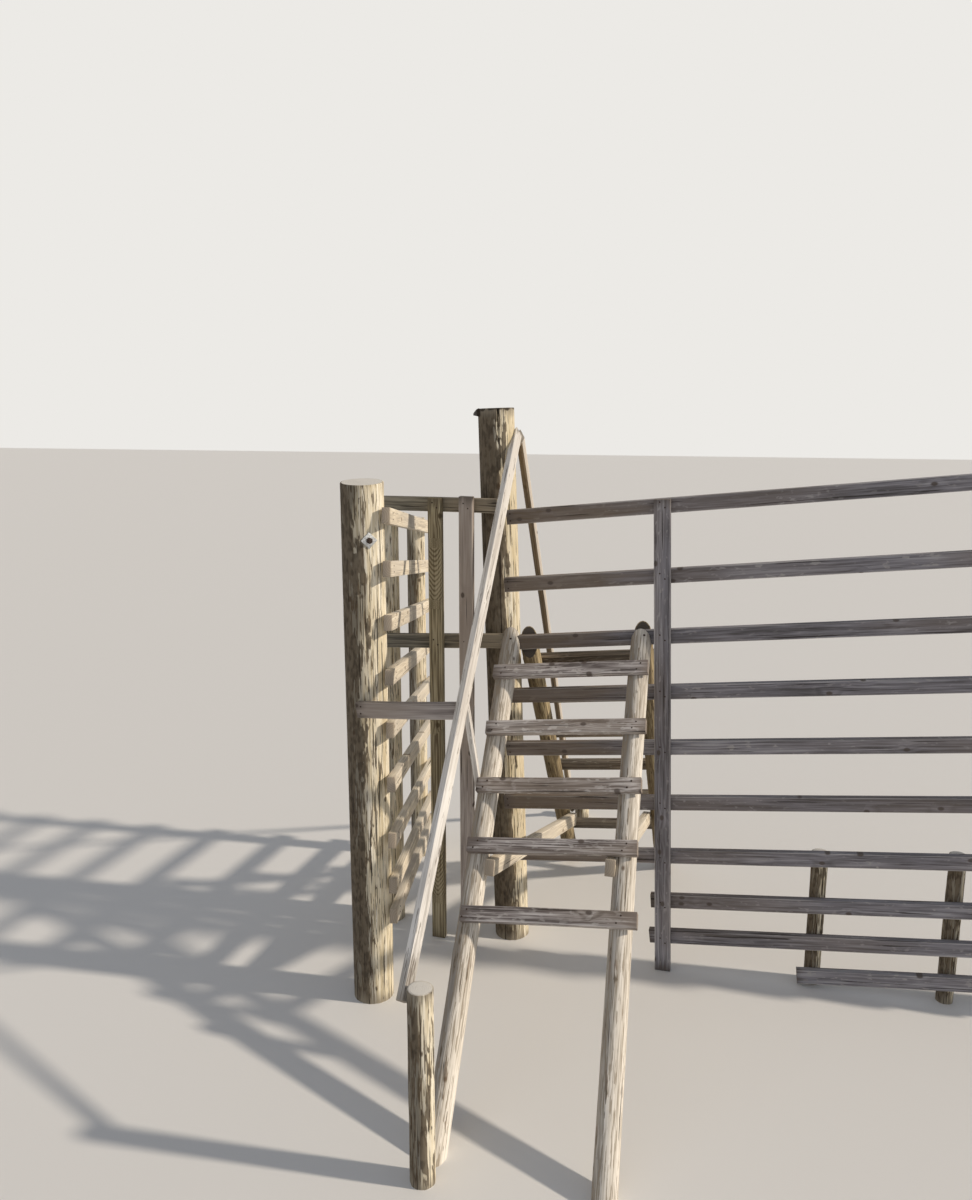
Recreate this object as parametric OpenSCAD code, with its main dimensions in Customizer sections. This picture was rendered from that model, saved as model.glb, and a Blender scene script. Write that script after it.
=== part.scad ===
// A timber ladder stile over a deer fence, with the slatted side fence of the
// cattle grid beside it. All sizes are in millimetres.
// X runs along the fence, Y points over the stile to its far side, Z is up.
// The origin is the middle of the tall post's foot, on the floor.
// Everything that stands on the hillside runs down to one level floor.

/* [Sawn rails] */
// Height of a fence rail
rail_w = 75; // [50:1:120]
// Thickness of a fence rail
rail_t = 38; // [20:1:60]
// Fall of the fence rails to the left, in degrees
rail_slope = 5.9; // [0:0.1:10]
// Height of the top rail's middle at the tall post
top_rail_z = 2406; // [2200:1:2600]
// Overhang of a fence rail past the end post's middle
rail_overhang = 70; // [20:1:200]

/* [Posts] */
// Radius of the tall post that carries the handrails
tall_post_r = 97.5; // [70:0.5:130]
// Height of the tall post
tall_post_h = 2962; // [2600:1:3300]
// Lean of the tall post to the left, in degrees
tall_post_lean = 2; // [0:0.1:4]
// Radius of the near post of the side fence
wing_near_r = 103; // [80:1:130]
// Height of the near post of the side fence, at the back of its sloping top
wing_near_h = 2633; // [2500:1:2900]
// Radius of the far post of the side fence
wing_far_r = 57; // [45:1:90]
// Height of the far post of the side fence
wing_far_h = 2285; // [2230:1:2600]
// Radius of the post at the gate side, where the gap panel ends
gate_post_r = 80; // [60:1:110]
// Place of that post along the fence
gate_post_x = -735; // [-780:1:-690]
// Radius of the post at the right end of the fence bay
end_post_r = 85; // [60:1:110]
// Distance of that post from the tall post
bay_l = 2900; // [2600:10:3600]
// Height of that post above the top rail there
end_post_stand = 60; // [0:1:200]
// Radius of the two short posts in the ditch
ditch_post_r = 42; // [30:1:60]
// Place of the left short post along the fence
ditch_left_x = 1634; // [1500:1:1800]
// Place of the right short post along the fence
ditch_right_x = 2277; // [2100:1:2500]

/* [Near ladder] */
// Radius of the near ladder's round stringers
near_r = 53; // [40:1:65]
// Slope of the near ladder, in degrees from level
near_slope = 47; // [42:0.5:55]
// Place of its left stringer's top end along the fence
near_left_x = 22; // [10:1:80]
// Distance between its two stringers
near_gap = 691; // [600:1:760]
// Lean of its stringers to the left, in degrees
near_lean = 2.6; // [0:0.1:5]
// Distance from the stringer's top to the middle of the first tread
near_first = 194; // [150:1:260]
// Distance between treads along the stringer
near_pitch = 307; // [260:1:340]
// Width of a tread
tread_w = 70; // [50:1:100]
// Thickness of a tread
tread_t = 38; // [25:1:50]
// Length of a near tread
near_tread_l = 792; // [760:1:860]

/* [Far ladder] */
// Radius of the far ladder's round stringers
far_r = 50; // [40:1:65]
// Slope of the far ladder, in degrees from level
far_slope = 57; // [50:0.5:65]
// Place of its left stringer's top end along the fence
far_left_x = 106; // [90:1:140]
// Distance between its two stringers
far_gap = 596; // [540:1:640]
// Lean of its stringers to the left, in degrees
far_lean = 1.6; // [0:0.1:4]
// Distance from the stringer's top to the middle of the first tread
far_first = 205; // [150:1:260]
// Distance between treads along the stringer
far_pitch = 313; // [260:1:340]
// Length of a far tread
far_tread_l = 730; // [660:1:800]

/* [Handrails] */
// Side of the square near handrail bar
near_bar_w = 43; // [35:1:60]
// Side of the square far handrail bar
far_bar_w = 35; // [30:1:60]
// Slope of the near handrail, in degrees from level
near_bar_slope = 48; // [45:0.5:55]
// Slope of the far handrail, in degrees from level
far_bar_slope = 58; // [54:0.5:64]
// Height at which the two handrails meet
apex_z = 2815; // [2700:1:2900]
// Turn of the near handrail about its own length, in degrees
near_bar_twist = 52; // [0:1:90]
// Turn of the far handrail about its own length, in degrees
far_bar_twist = 43; // [0:1:90]
// Radius of the stump at the foot of each handrail
stump_r = 52; // [40:1:80]
// Height of the near stump
near_stump_h = 830; // [700:1:900]
// Height of the far stump
far_stump_h = 150; // [100:1:300]

/* [Side fence and gap panel] */
// Place of the near post of the side fence, from the tall post
wing_near_x = -543; // [-620:1:-500]
// Place of the near post of the side fence, towards the viewer
wing_near_y = -770; // [-900:1:-650]
// Length of the side fence between its posts
wing_l = 1610; // [1400:1:2000]
// Turn of the side fence to the left as it goes back, in degrees
wing_turn = 12.5; // [8:0.5:16]
// Fall of the side fence's rails towards the far side, in degrees
wing_slope = 8.5; // [4:0.5:11]
// How far those rails stick out past their posts' middles
wing_overhang = 95; // [40:1:140]
// Width of the gap panel's uprights
upright_w = 75; // [50:1:90]
// Place of the left upright along the fence
upright_left_x = -391; // [-420:1:-340]
// Place of the right upright along the fence
upright_right_x = -221; // [-240:1:-190]
// Height of the middle of the gap panel's top rail
panel_top_z = 2462; // [2300:1:2600]
// Fall of the gap panel's lower rail to the left, in degrees
panel_low_slope = 3.3; // [0:0.1:5.9]
// Place of the batten's foot along the fence
batten_x = 870; // [820:1:950]
// Width of the batten
batten_w = 82; // [60:1:110]
// Side of the square washer on the side fence's near post
washer_w = 56; // [50:1:90]

/* [Ties] */
// Width of the base ties between the two ladders
tie_w = 75; // [50:1:100]
// Thickness of the base ties
tie_t = 45; // [30:1:60]
// Width of the small brace under the near handrail
brace_w = 38; // [25:1:50]
// Thickness of that brace
brace_t = 25; // [18:1:38]
// Depth of the flats cut in the stringers for treads and ties
flat_d = 6; // [3:1:12]
// Clearance between two seated pieces
seat = 0.3; // [0.1:0.1:0.5]

/* [Hidden] */
$fn = 48;
big = 6000;

// Steps down from each fence rail to the next, from the top
rail_steps = [0, 354, 312, 292, 296, 304, 302, 253, 205, 192];
// Places along the fence where the rails down to the ditch start, from the top
rail_from = [-14, -24, 20, -3, -10, -20, 0];
// Heights of the side fence's rails at the near post
wing_rail_z = [2463, 2215, 1960, 1695, 1435, 1160, 870, 630, 470];
// How far each near tread was nailed from its even place, down the slope
near_tread_shift = [-3, 7, -1, -12, -3];
// How far each near tread sticks out past the left stringer's middle
near_tread_out = [54, 44, 45, 42, 21];
near_treads = len(near_tread_shift);
// Number of treads on the far ladder
far_treads = 6;

// The fence rail that both ladders lean on, counted from the top
lean_rail = 2;
// How far the near stringers' tops stand over that rail, left and right, and run on past its face
near_stand = [45, 13];
near_end_on = [32, 0];
// How far the far stringers' tops stand over it
far_stand = 50;
// Height of the near and the far stringers' middles under that rail's middle
near_top_drop = 15;
far_top_drop = 5;
// How far the low rails stick out past the batten's and the short post's middles
rail_end = 80;
// Height of the batten's top under the top rail's top
batten_drop = 10;
// Height of the panel's lower rail over the rail it meets
panel_low_up = 10;
// Depth of the ditch posts' tops under the top of the rail that they carry
ditch_post_drop = 22;
// How far the panel's posts stand over its top rail
post_stand = 12;
// Bolt and washer on the side fence's near post. The first is how far the bolt is under the post's top.
bolt_down = 273;
bolt_flat = 9;
bolt_turn = 38;
washer_t = 6;
nut_r = 16;
nut_h = 14;
// Fall of that post's sawn top towards the viewer, in degrees
wing_top_fall = 5.6;
// Ends of the base ties, against the stringers' middles there
tie_near_y = -1000;
tie_far_y = 745;
tie_near_up = 92;
tie_far_down = 45;
// Foot of the near handrail and the stump that carries it
near_foot_x = 32;
near_bar_short = 20;
near_stump_x = 108;
near_stump_y = -1884;
// Foot of the far handrail
far_foot_x = 26;
// Place of the near handrail's top along the fence
near_apex_x = 3;
// Place of the plane where the handrails meet, and how far they run past it before they are cut
meet_y = 5;
past = 100;
// Ends of the rail behind the near handrail
tie_rail_left = [-542, -886, 1558];
tie_rail_right = [26, -1012, 1637];
// Place of the small brace's head, and of its foot down the stringer
brace_head_y = -1000;
brace_s = 785;

// Planes that the pieces share
rail_back_y = -tall_post_r - seat;
rail_front_y = rail_back_y - rail_t;
upright_y = rail_front_y - seat - rail_t;

function drop(i) = i == 0 ? 0 : rail_steps[i] + drop(i - 1);
function rail_z(i, x) = top_rail_z - drop(i) + x * tan(rail_slope);
function tall_post_x(z) = -z * tan(tall_post_lean);

// A bar from one point to another. Its section is a along its own X and b along its own Y.
module bar(from, to, a, b, twist = 0) {
  d = to - from;
  len = norm(d);
  translate(from)
    rotate([0, acos(d[2] / len), atan2(d[1], d[0])])
      rotate([0, 0, twist])
        translate([-a / 2, -b / 2, 0])
          cube([a, b, len]);
}

// The space that a fence rail takes up behind its own front face, for the tops that rest on it
module leaning_seat(front) {
  translate([0, front, rail_z(lean_rail, 0)])
    rotate([0, -rail_slope, 0])
      translate([-big / 2, 0, -big + rail_w / 2 + 2 * seat]) cube([big, big, big]);
}

module above_floor() {
  intersection() {
    children();
    translate([-big / 2, -big / 2, 0]) cube([big, big, big]);
  }
}

module post(r, h, x = 0, y = 0) {
  translate([x, y, 0]) cylinder(r = r, h = h);
}

// Fence line

module tall_post() {
  color("#9a8762")
    above_floor()
      difference() {
        rotate([0, -tall_post_lean, 0])
          translate([0, 0, -tall_post_r]) cylinder(r = tall_post_r, h = tall_post_h + tall_post_r);
        near_handrail(seat);
      }
}

module end_post() {
  color("#9a8762")
    post(end_post_r, rail_z(0, bay_l) + end_post_stand, bay_l, rail_back_y + seat + end_post_r);
}

module ditch_post(x) {
  color("#8a7a5a")
    post(ditch_post_r, rail_z(6, x) + rail_w / 2 - ditch_post_drop, x, rail_back_y + seat + ditch_post_r);
}

// One sloping fence rail between two places along the fence
module fence_rail(i, x0, x1) {
  z0 = rail_z(i, x0);
  run = (x1 - x0) / cos(rail_slope);
  translate([x0, rail_front_y, z0])
    rotate([0, -rail_slope, 0])
      translate([0, 0, -rail_w / 2])
        cube([run, rail_t, rail_w]);
}

// The lower rails start at the batten, and the lowest at the left short post
first_low = len(rail_from);
lowest = len(rail_steps) - 1;
function rail_start(i) = i < first_low ? rail_from[i]
                       : i < lowest ? batten_x - rail_end
                       : ditch_left_x - rail_end;

module fence_rails() {
  color("#7d7368")
    for (i = [0 : lowest])
      fence_rail(i, rail_start(i), bay_l + rail_overhang);
}

module fence_batten() {
  top = rail_z(0, batten_x) + rail_w / 2 - batten_drop;
  color("#7b716a")
    above_floor()
      translate([batten_x, upright_y, 0])
        rotate([0, -tall_post_lean, 0])
          translate([-batten_w / 2, 0, -rail_w])
            cube([batten_w, rail_t, top + rail_w]);
}

// Gap panel between the tall post and the post at the gate side

panel_left_x = gate_post_x - gate_post_r / 2;

module gate_side_post() {
  color("#8f7d58")
    post(gate_post_r, panel_top_z + post_stand, gate_post_x, rail_back_y + seat + gate_post_r);
}

module panel_rail_top() {
  right = tall_post_x(panel_top_z) + tall_post_r / 4;
  color("#6e655c")
    translate([panel_left_x, rail_front_y, panel_top_z - rail_w / 2])
      cube([right - panel_left_x, rail_t, rail_w]);
}

// Its right end meets the end of the fence rail that the ladders lean on
module panel_rail_low() {
  right = rail_from[lean_rail] - seat;
  color("#6e655c")
    intersection() {
      translate([right, rail_front_y, rail_z(lean_rail, 0) + panel_low_up])
        rotate([0, -panel_low_slope, 0])
          translate([-big / 2, 0, -rail_w / 2]) cube([big, rail_t, rail_w]);
      translate([panel_left_x, -big / 2, 0]) cube([right - panel_left_x, big, big]);
    }
}

module panel_upright(x, top) {
  translate([x - upright_w / 2, upright_y, 0])
    cube([upright_w, rail_t, top]);
}

module panel_upright_left() {
  color("#7a6c4f") panel_upright(upright_left_x, panel_top_z + rail_w / 2);
}

module panel_upright_right() {
  color("#7b716a") panel_upright(upright_right_x, panel_top_z + rail_w / 2 + post_stand);
}

// Side fence of the cattle grid

module wing_frame() {
  translate([wing_near_x, wing_near_y, 0]) rotate([0, 0, wing_turn]) children();
}

module wing_near_post() {
  color("#a8946a")
    difference() {
      wing_frame() post(wing_near_r, wing_near_h);
      wing_frame()
        translate([-big / 2, wing_near_r, wing_near_h])
          rotate([wing_top_fall, 0, 0])
            translate([0, -big / 2, 0]) cube([big, big, big]);
      tie_rail(seat);
      at_bolt() translate([-washer_w, -washer_w, 0]) cube([2 * washer_w, 2 * washer_w, wing_near_r]);
    }
}

module wing_far_post() {
  color("#a8946a") wing_frame() post(wing_far_r, wing_far_h, wing_near_r - wing_far_r, wing_l);
}

module wing_rails() {
  run = (wing_l + 2 * wing_overhang) / cos(wing_slope);
  color("#b5a88c")
    wing_frame()
      for (z = wing_rail_z)
        translate([wing_near_r + seat, -wing_overhang, z + wing_overhang * tan(wing_slope)])
          rotate([-wing_slope, 0, 0])
            translate([0, 0, -rail_w / 2])
              cube([rail_t, run, rail_w]);
}

// Where the washer lies, its Z out of the post
module at_bolt() {
  translate([wing_near_x, wing_near_y, wing_near_h - bolt_down])
    rotate([0, 0, bolt_turn])
      translate([0, bolt_flat - wing_near_r, 0])
        rotate([90, 0, 0]) children();
}

module wing_bolt() {
  color("#b9bcbd")
    at_bolt()
      translate([0, 0, seat]) {
        rotate([0, 0, 45]) translate([-washer_w / 2, -washer_w / 2, 0]) cube([washer_w, washer_w, washer_t]);
        cylinder(r = nut_r, h = washer_t + nut_h, $fn = 6);
      }
}

// Ladders. A ladder's own frame has X across, Y up the slope and Z out of its front.
// Its Y starts at the stringer's top and runs down the slope as negative values.

near_top_z = rail_z(lean_rail, near_left_x) - near_top_drop;
far_top_z = rail_z(lean_rail, far_left_x) - far_top_drop;
near_run = near_top_z / sin(near_slope);
far_run = far_top_z / sin(far_slope);
// Sideways shift of a stringer's middle per distance down it
near_shift = tan(near_lean) * sin(near_slope);
far_shift = tan(far_lean) * sin(far_slope);

// s is the distance down the slope from the top end
function near_point(x, s) = [x + s * near_shift,
                             rail_front_y - seat - s * cos(near_slope),
                             near_top_z + (x - near_left_x) * tan(rail_slope) - s * sin(near_slope)];
function far_point(x, s) = [x + s * far_shift,
                            rail_back_y + seat + s * cos(far_slope),
                            far_top_z + (x - far_left_x) * tan(rail_slope) - s * sin(far_slope)];

near_right_x = near_left_x + near_gap;
far_right_x = far_left_x + far_gap;

// Longer than the stringer at both ends, where it is then cut to its planes
module round_stringer(from, to, r) {
  d = to - from;
  len = norm(d);
  spare = 3 * r;
  translate(from)
    rotate([0, acos(d[2] / len), atan2(d[1], d[0])])
      translate([0, 0, -spare])
        cylinder(r = r, h = len + 2 * spare);
}

module near_stringer(x, top, on) {
  difference() {
    intersection() {
      round_stringer(near_point(x, 0), near_point(x, near_run + near_gap * tan(rail_slope)), near_r);
      translate([-big / 2, rail_front_y - seat + on - big, 0]) cube([big, big, top]);
    }
    translate([0, 0, -seat]) leaning_seat(rail_front_y - seat);
    for (i = [1 : near_treads]) near_tread(i, seat);
    base_tie_left(seat);
    base_tie_right(seat);
    handrail_brace(seat);
  }
}

module far_stringer(x, top) {
  difference() {
    intersection() {
      round_stringer(far_point(x, 0), far_point(x, far_run + far_gap * tan(rail_slope)), far_r);
      translate([-big / 2, rail_back_y + seat, 0]) cube([big, big, top]);
    }
    for (i = [1 : far_treads]) far_tread(i, seat);
    base_tie_left(seat);
    base_tie_right(seat);
  }
}

function rail_top(x) = rail_z(lean_rail, x) + rail_w / 2;

// A tread, or with grow the flat that it needs in the stringers
module near_tread(i, grow = 0) {
  s = near_first + (i - 1) * near_pitch + near_tread_shift[i - 1];
  translate(near_point(near_left_x, s))
    rotate([0, -rail_slope, 0])
      rotate([near_slope, 0, 0])
        translate([-near_tread_out[i - 1] - grow, -tread_w / 2 - grow, near_r - flat_d - grow])
          cube([near_tread_l + 2 * grow, tread_w + 2 * grow, tread_t + 2 * grow + (grow > 0 ? near_r : 0)]);
}

module far_tread(i, grow = 0) {
  s = far_first + (i - 1) * far_pitch;
  out = (far_tread_l - far_gap) / 2;
  translate(far_point(far_left_x, s))
    rotate([0, -rail_slope, 0])
      rotate([-far_slope, 0, 0])
        translate([-out - grow, -tread_w / 2 - grow, far_r - flat_d - grow])
          cube([far_tread_l + 2 * grow, tread_w + 2 * grow, tread_t + 2 * grow + (grow > 0 ? far_r : 0)]);
}

module near_stringer_left() {
  color("#b5a98f") near_stringer(near_left_x, rail_top(near_left_x) + near_stand[0], near_end_on[0]);
}

module near_stringer_right() {
  color("#b5a98f") near_stringer(near_right_x, rail_top(near_right_x) + near_stand[1], near_end_on[1]);
}

module far_stringer_left() {
  color("#a39576") far_stringer(far_left_x, rail_top(far_left_x) + far_stand);
}

module far_stringer_right() {
  color("#a39576") far_stringer(far_right_x, rail_top(far_right_x) + far_stand);
}

module near_tread_node(i) {
  color("#8f8a86") near_tread(i);
}

module far_tread_node(i) {
  color("#857f78") far_tread(i);
}

// Base ties, along the inner sides of the stringers of both ladders

function near_s(y) = (rail_front_y - seat - y) / cos(near_slope);
function far_s(y) = (y - rail_back_y - seat) / cos(far_slope);

// side is 1 for the left tie and -1 for the right one, which lies mirrored
module base_tie(near_x, far_x, side, grow = 0) {
  a = near_point(near_x, near_s(tie_near_y));
  b = far_point(far_x, far_s(tie_far_y));
  near_in = side * (near_r - flat_d + tie_t / 2);
  far_in = side * (far_r - flat_d + tie_t / 2);
  from = [a[0] + near_in, tie_near_y, a[2] + tie_near_up];
  to = [b[0] + far_in, tie_far_y, b[2] - tie_far_down];
  bar(from, to, tie_w + 2 * grow, tie_t + 2 * grow);
}

module base_tie_left(grow = 0) {
  color("#9c917c") base_tie(near_left_x, far_left_x, 1, grow);
}

module base_tie_right(grow = 0) {
  color("#9c917c") base_tie(near_right_x, far_right_x, -1, grow);
}

// Handrails. They meet on the right side of the tall post.
// The near one is let into the post, and the far one lies against it.
far_half = far_bar_w / 2 * (cos(far_bar_twist) + sin(far_bar_twist));
far_apex_x = tall_post_x(apex_z) + tall_post_r / cos(tall_post_lean) + far_half + seat;
far_foot_y = (apex_z - far_stump_h / 2) / tan(far_bar_slope);

function near_bar_x(y) = near_apex_x + (near_foot_x - near_apex_x) * y / near_stump_y;
function near_bar_z(y) = apex_z + y * tan(near_bar_slope);
function far_bar_z(y) = apex_z - y * tan(far_bar_slope);

module near_handrail(grow = 0) {
  end_y = near_stump_y + near_bar_short;
  color("#c9c2b4")
    intersection() {
      bar([near_bar_x(end_y), end_y, near_bar_z(end_y)], [near_bar_x(past), past, near_bar_z(past)],
          near_bar_w + 2 * grow, near_bar_w + 2 * grow, near_bar_twist);
      translate([-big / 2, meet_y - big - seat / 2 + grow, 0]) cube([big, big, big]);
    }
}

module far_handrail(grow = 0) {
  end_y = far_foot_y + stump_r / 2;
  color("#8b8378")
    intersection() {
      bar([far_apex_x, -past, far_bar_z(-past)], [far_foot_x, end_y, far_bar_z(end_y)],
          far_bar_w + 2 * grow, far_bar_w + 2 * grow, far_bar_twist);
      translate([-big / 2, meet_y + seat / 2 - grow, 0]) cube([big, big, big]);
    }
}

module near_stump() {
  color("#b8ad97")
    difference() {
      post(stump_r, near_stump_h, near_stump_x, near_stump_y);
      near_handrail(seat);
    }
}

module far_stump() {
  color("#b8ad97") post(stump_r, far_stump_h, far_foot_x + far_half + seat + stump_r, far_foot_y);
}

// Rail from the side fence's near post to the back of the near handrail

module tie_rail(grow = 0) {
  color("#8b8378")
    difference() {
      bar(tie_rail_left, tie_rail_right, rail_w + 2 * grow, rail_t + 2 * grow);
      if (grow == 0) near_handrail(seat);
    }
}

// Brace from the near handrail down to the outer side of the left stringer
module handrail_brace(grow = 0) {
  foot = near_point(near_left_x, brace_s) - [near_r - flat_d + brace_t / 2, 0, 0];
  head = [near_bar_x(brace_head_y), brace_head_y, near_bar_z(brace_head_y)];
  color("#a59c8c")
    difference() {
      bar(head, foot, brace_w + 2 * grow, brace_t + 2 * grow);
      if (grow == 0) near_handrail(seat);
      if (grow == 0) tie_rail(seat);
    }
}

tall_post();
end_post();
ditch_post(ditch_left_x);  // ditch_post_left
ditch_post(ditch_right_x);  // ditch_post_right
fence_rails();
fence_batten();
wing_near_post();
wing_far_post();
wing_rails();
wing_bolt();
gate_side_post();
panel_rail_top();
panel_rail_low();
panel_upright_left();
panel_upright_right();
near_stringer_left();
near_stringer_right();
near_tread_node(1);  // near_tread_1
near_tread_node(2);  // near_tread_2
near_tread_node(3);  // near_tread_3
near_tread_node(4);  // near_tread_4
near_tread_node(5);  // near_tread_5
far_stringer_left();
far_stringer_right();
far_tread_node(1);  // far_tread_1
far_tread_node(2);  // far_tread_2
far_tread_node(3);  // far_tread_3
far_tread_node(4);  // far_tread_4
far_tread_node(5);  // far_tread_5
far_tread_node(6);  // far_tread_6
base_tie_left();
base_tie_right();
near_handrail();
far_handrail();
near_stump();
far_stump();
handrail_brace();
tie_rail();
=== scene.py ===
# The looks of a timber ladder stile over a deer fence, with the slatted side fence beside it.
# Metres, in the part's own frame: X along the fence, Y over the stile to its far side, Z up.
import math
import random
import bpy
import bmesh
from mathutils import Matrix, Vector, noise


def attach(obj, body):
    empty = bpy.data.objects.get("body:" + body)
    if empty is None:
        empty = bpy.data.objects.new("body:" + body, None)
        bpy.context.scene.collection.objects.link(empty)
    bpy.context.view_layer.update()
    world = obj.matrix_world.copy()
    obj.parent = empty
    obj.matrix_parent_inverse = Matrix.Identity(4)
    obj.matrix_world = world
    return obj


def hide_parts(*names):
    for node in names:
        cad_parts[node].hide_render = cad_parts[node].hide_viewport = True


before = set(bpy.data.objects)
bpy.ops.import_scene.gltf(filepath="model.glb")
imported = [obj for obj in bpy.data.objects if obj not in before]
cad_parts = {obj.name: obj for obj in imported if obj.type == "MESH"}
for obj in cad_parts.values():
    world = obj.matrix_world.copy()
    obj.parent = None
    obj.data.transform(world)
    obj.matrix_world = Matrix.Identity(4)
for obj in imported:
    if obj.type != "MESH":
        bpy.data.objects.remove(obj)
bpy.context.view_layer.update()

UP = Vector((0, 0, 1))
ALONG = Vector((1, 0, 0))
# Clearance between two timbers that are seated on each other
SEAT = 0.0003

# Sawn rails
RAIL_W = 0.075
RAIL_T = 0.038
RAIL_SLOPE = math.radians(5.9)
TOP_RAIL_Z = 2.406
# Drop from each fence rail to the next, from the top down
RAIL_STEPS = [0, 0.354, 0.312, 0.292, 0.296, 0.304, 0.302, 0.253, 0.205, 0.192]
# Where the upper rails start. The others start at the batten, and the lowest at the ditch
RAIL_FROM = [-0.014, -0.024, 0.020, -0.003, -0.010, -0.020, 0.0]
# How far the rails stick out past the end post's middle, and how far the lower ones start before the
# middle of the batten or of the ditch post
RAIL_OVERHANG = 0.070
RAIL_END = 0.080
# The rail that both ladders lean on, and the one that the ditch posts reach up to
LEAN_RAIL = 2
DITCH_RAIL = 6

# Posts
TALL_R = 0.0975
TALL_H = 2.962
TALL_LEAN = math.radians(2)
BAY_L = 2.900
END_R = 0.085
# How far the end post stands above the top rail's middle
END_STAND = 0.060
DITCH_R = 0.042
DITCH_X = [1.634, 2.277]
# How far their tops are below the top edge of the rail in front
DITCH_DROP = 0.022
GATE_R = 0.080
GATE_X = -0.735
PANEL_TOP_Z = 2.462
PANEL_LOW_SLOPE = math.radians(3.3)
# How far the panel's lower rail starts above the fence rail that it meets, and how far the gate side post
# stands above the top rail's middle and the right upright above its top edge
PANEL_LOW_UP = 0.010
POST_STAND = 0.012
UPRIGHT_W = 0.075
UPRIGHT_X = [-0.391, -0.221]
BATTEN_X = 0.870
BATTEN_W = 0.082
# How far the batten's top is below the top rail's
BATTEN_DROP = 0.010

# Side fence
WING_AT = Vector((-0.543, -0.770, 0))
WING_R = 0.103
WING_H = 2.633
WING_TOP_FALL = math.radians(5.6)
WING_FAR_R = 0.057
WING_FAR_H = 2.285
WING_L = 1.610
WING_TURN = math.radians(12.5)
WING_SLOPE = math.radians(8.5)
WING_OVERHANG = 0.095
WING_RAIL_Z = [2.463, 2.215, 1.960, 1.695, 1.435, 1.160, 0.870, 0.630, 0.470]
# The washer: how far below the post's top and how far round the post it is, and how deep its flat is cut
BOLT_DOWN = 0.273
BOLT_TURN = math.radians(38)
BOLT_FLAT = 0.009
WASHER_W = 0.056
WASHER_T = 0.006

# Ladders. The stringers' tops are a little below the middle of the rail that they lean on
NEAR_TOP_DROP = 0.015
FAR_TOP_DROP = 0.005
NEAR_R = 0.053
NEAR_SLOPE = math.radians(47)
NEAR_LEAN = math.radians(2.6)
NEAR_X = [0.022, 0.713]
NEAR_FIRST = 0.194
NEAR_PITCH = 0.307
# How far each near tread is from its even place down the poles, and how far it sticks out on the left
NEAR_SHIFT = [-0.003, 0.007, -0.001, -0.012, -0.003]
NEAR_OUT = [0.054, 0.044, 0.045, 0.042, 0.021]
NEAR_TREAD_L = 0.792
TREAD_W = 0.070
TREAD_T = 0.038
# Depth of the flats cut in the stringers for treads and ties
FLAT_D = 0.006
FAR_R = 0.050
FAR_SLOPE = math.radians(57)
FAR_LEAN = math.radians(1.6)
FAR_X = [0.106, 0.702]
FAR_FIRST = 0.205
FAR_PITCH = 0.313
FAR_TREAD_L = 0.730
FAR_TREADS = 6

# Base ties, handrails, stumps, brace
TIE_W = 0.075
TIE_T = 0.045
# Where the base ties end in front and behind, and how far above and below the stringers' middle lines
TIE_NEAR_Y = -1.000
TIE_FAR_Y = 0.745
TIE_NEAR_UP = 0.092
TIE_FAR_DOWN = 0.045
NEAR_BAR_W = 0.043
FAR_BAR_W = 0.035
NEAR_BAR_SLOPE = math.radians(48)
FAR_BAR_SLOPE = math.radians(58)
NEAR_BAR_TWIST = math.radians(52)
FAR_BAR_TWIST = math.radians(43)
# Where the handrails' middle lines meet, where they are sawn off, and where along the fence they start
# and end
APEX_Z = 2.815
MEET_Y = 0.005
NEAR_APEX_X = 0.003
NEAR_FOOT_X = 0.032
FAR_FOOT_X = 0.026
# How far short of its stump's middle the near handrail stops
NEAR_BAR_SHORT = 0.020
STUMP_R = 0.052
NEAR_STUMP = Vector((0.108, -1.884, 0))
NEAR_STUMP_H = 0.830
FAR_STUMP_H = 0.150
TIE_RAIL_LEFT = Vector((-0.542, -0.886, 1.558))
TIE_RAIL_RIGHT = Vector((0.026, -1.012, 1.637))
BRACE_W = 0.038
BRACE_T = 0.025
# Where the brace meets the near handrail, and how far down the left stringer its foot is
BRACE_HEAD_Y = -1.000
BRACE_S = 0.785

# The faces of the fence's rails at the back and the front, and the front of the uprights nailed on them
BACK_Y = -TALL_R - SEAT
FRONT_Y = BACK_Y - RAIL_T
UPRIGHT_Y = FRONT_Y - SEAT - RAIL_T


def rail_z(i, x):
    """Height of a fence rail's middle at a place along the fence."""
    return TOP_RAIL_Z - sum(RAIL_STEPS[:i + 1]) + x * math.tan(RAIL_SLOPE)


# Materials


def colour(text):
    """An sRGB hex colour as the linear one that shaders use."""
    parts = [int(text[i:i + 2], 16) / 255 for i in (1, 3, 5)]
    linear = [c / 12.92 if c <= 0.04045 else ((c + 0.055) / 1.055) ** 2.4 for c in parts]
    return (*linear, 1.0)


def add(tree, kind, *values, out=0, **settings):
    """Adds a node. Links and values go to its inputs in their order, settings to the node itself."""
    node = tree.nodes.new("ShaderNode" + kind)
    for name, setting in settings.items():
        setattr(node, name, setting)
    for socket, value in zip([s for s in node.inputs if s.enabled], values):
        if isinstance(value, bpy.types.NodeSocket):
            tree.links.new(value, socket)
        elif value is not None:
            socket.default_value = value
    live = [s for s in node.outputs if s.enabled]
    return live[out] if live and out is not None else live


def new_tree(name):
    material = bpy.data.materials.new(name)
    material.use_nodes = True
    material.node_tree.nodes.clear()
    return material, material.node_tree


def finish_tree(tree, base, rough, normal=None, **sockets):
    """Ends a material in its shader. Numbers that are the same all over are set on its own sockets."""
    shader = tree.nodes.new("ShaderNodeBsdfPrincipled")
    tree.links.new(base, shader.inputs["Base Color"])
    tree.links.new(rough, shader.inputs["Roughness"])
    if normal:
        tree.links.new(normal, shader.inputs["Normal"])
    for name, value in sockets.items():
        shader.inputs[name.replace("_", " ")].default_value = value
    add(tree, "OutputMaterial", shader.outputs["BSDF"])


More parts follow.
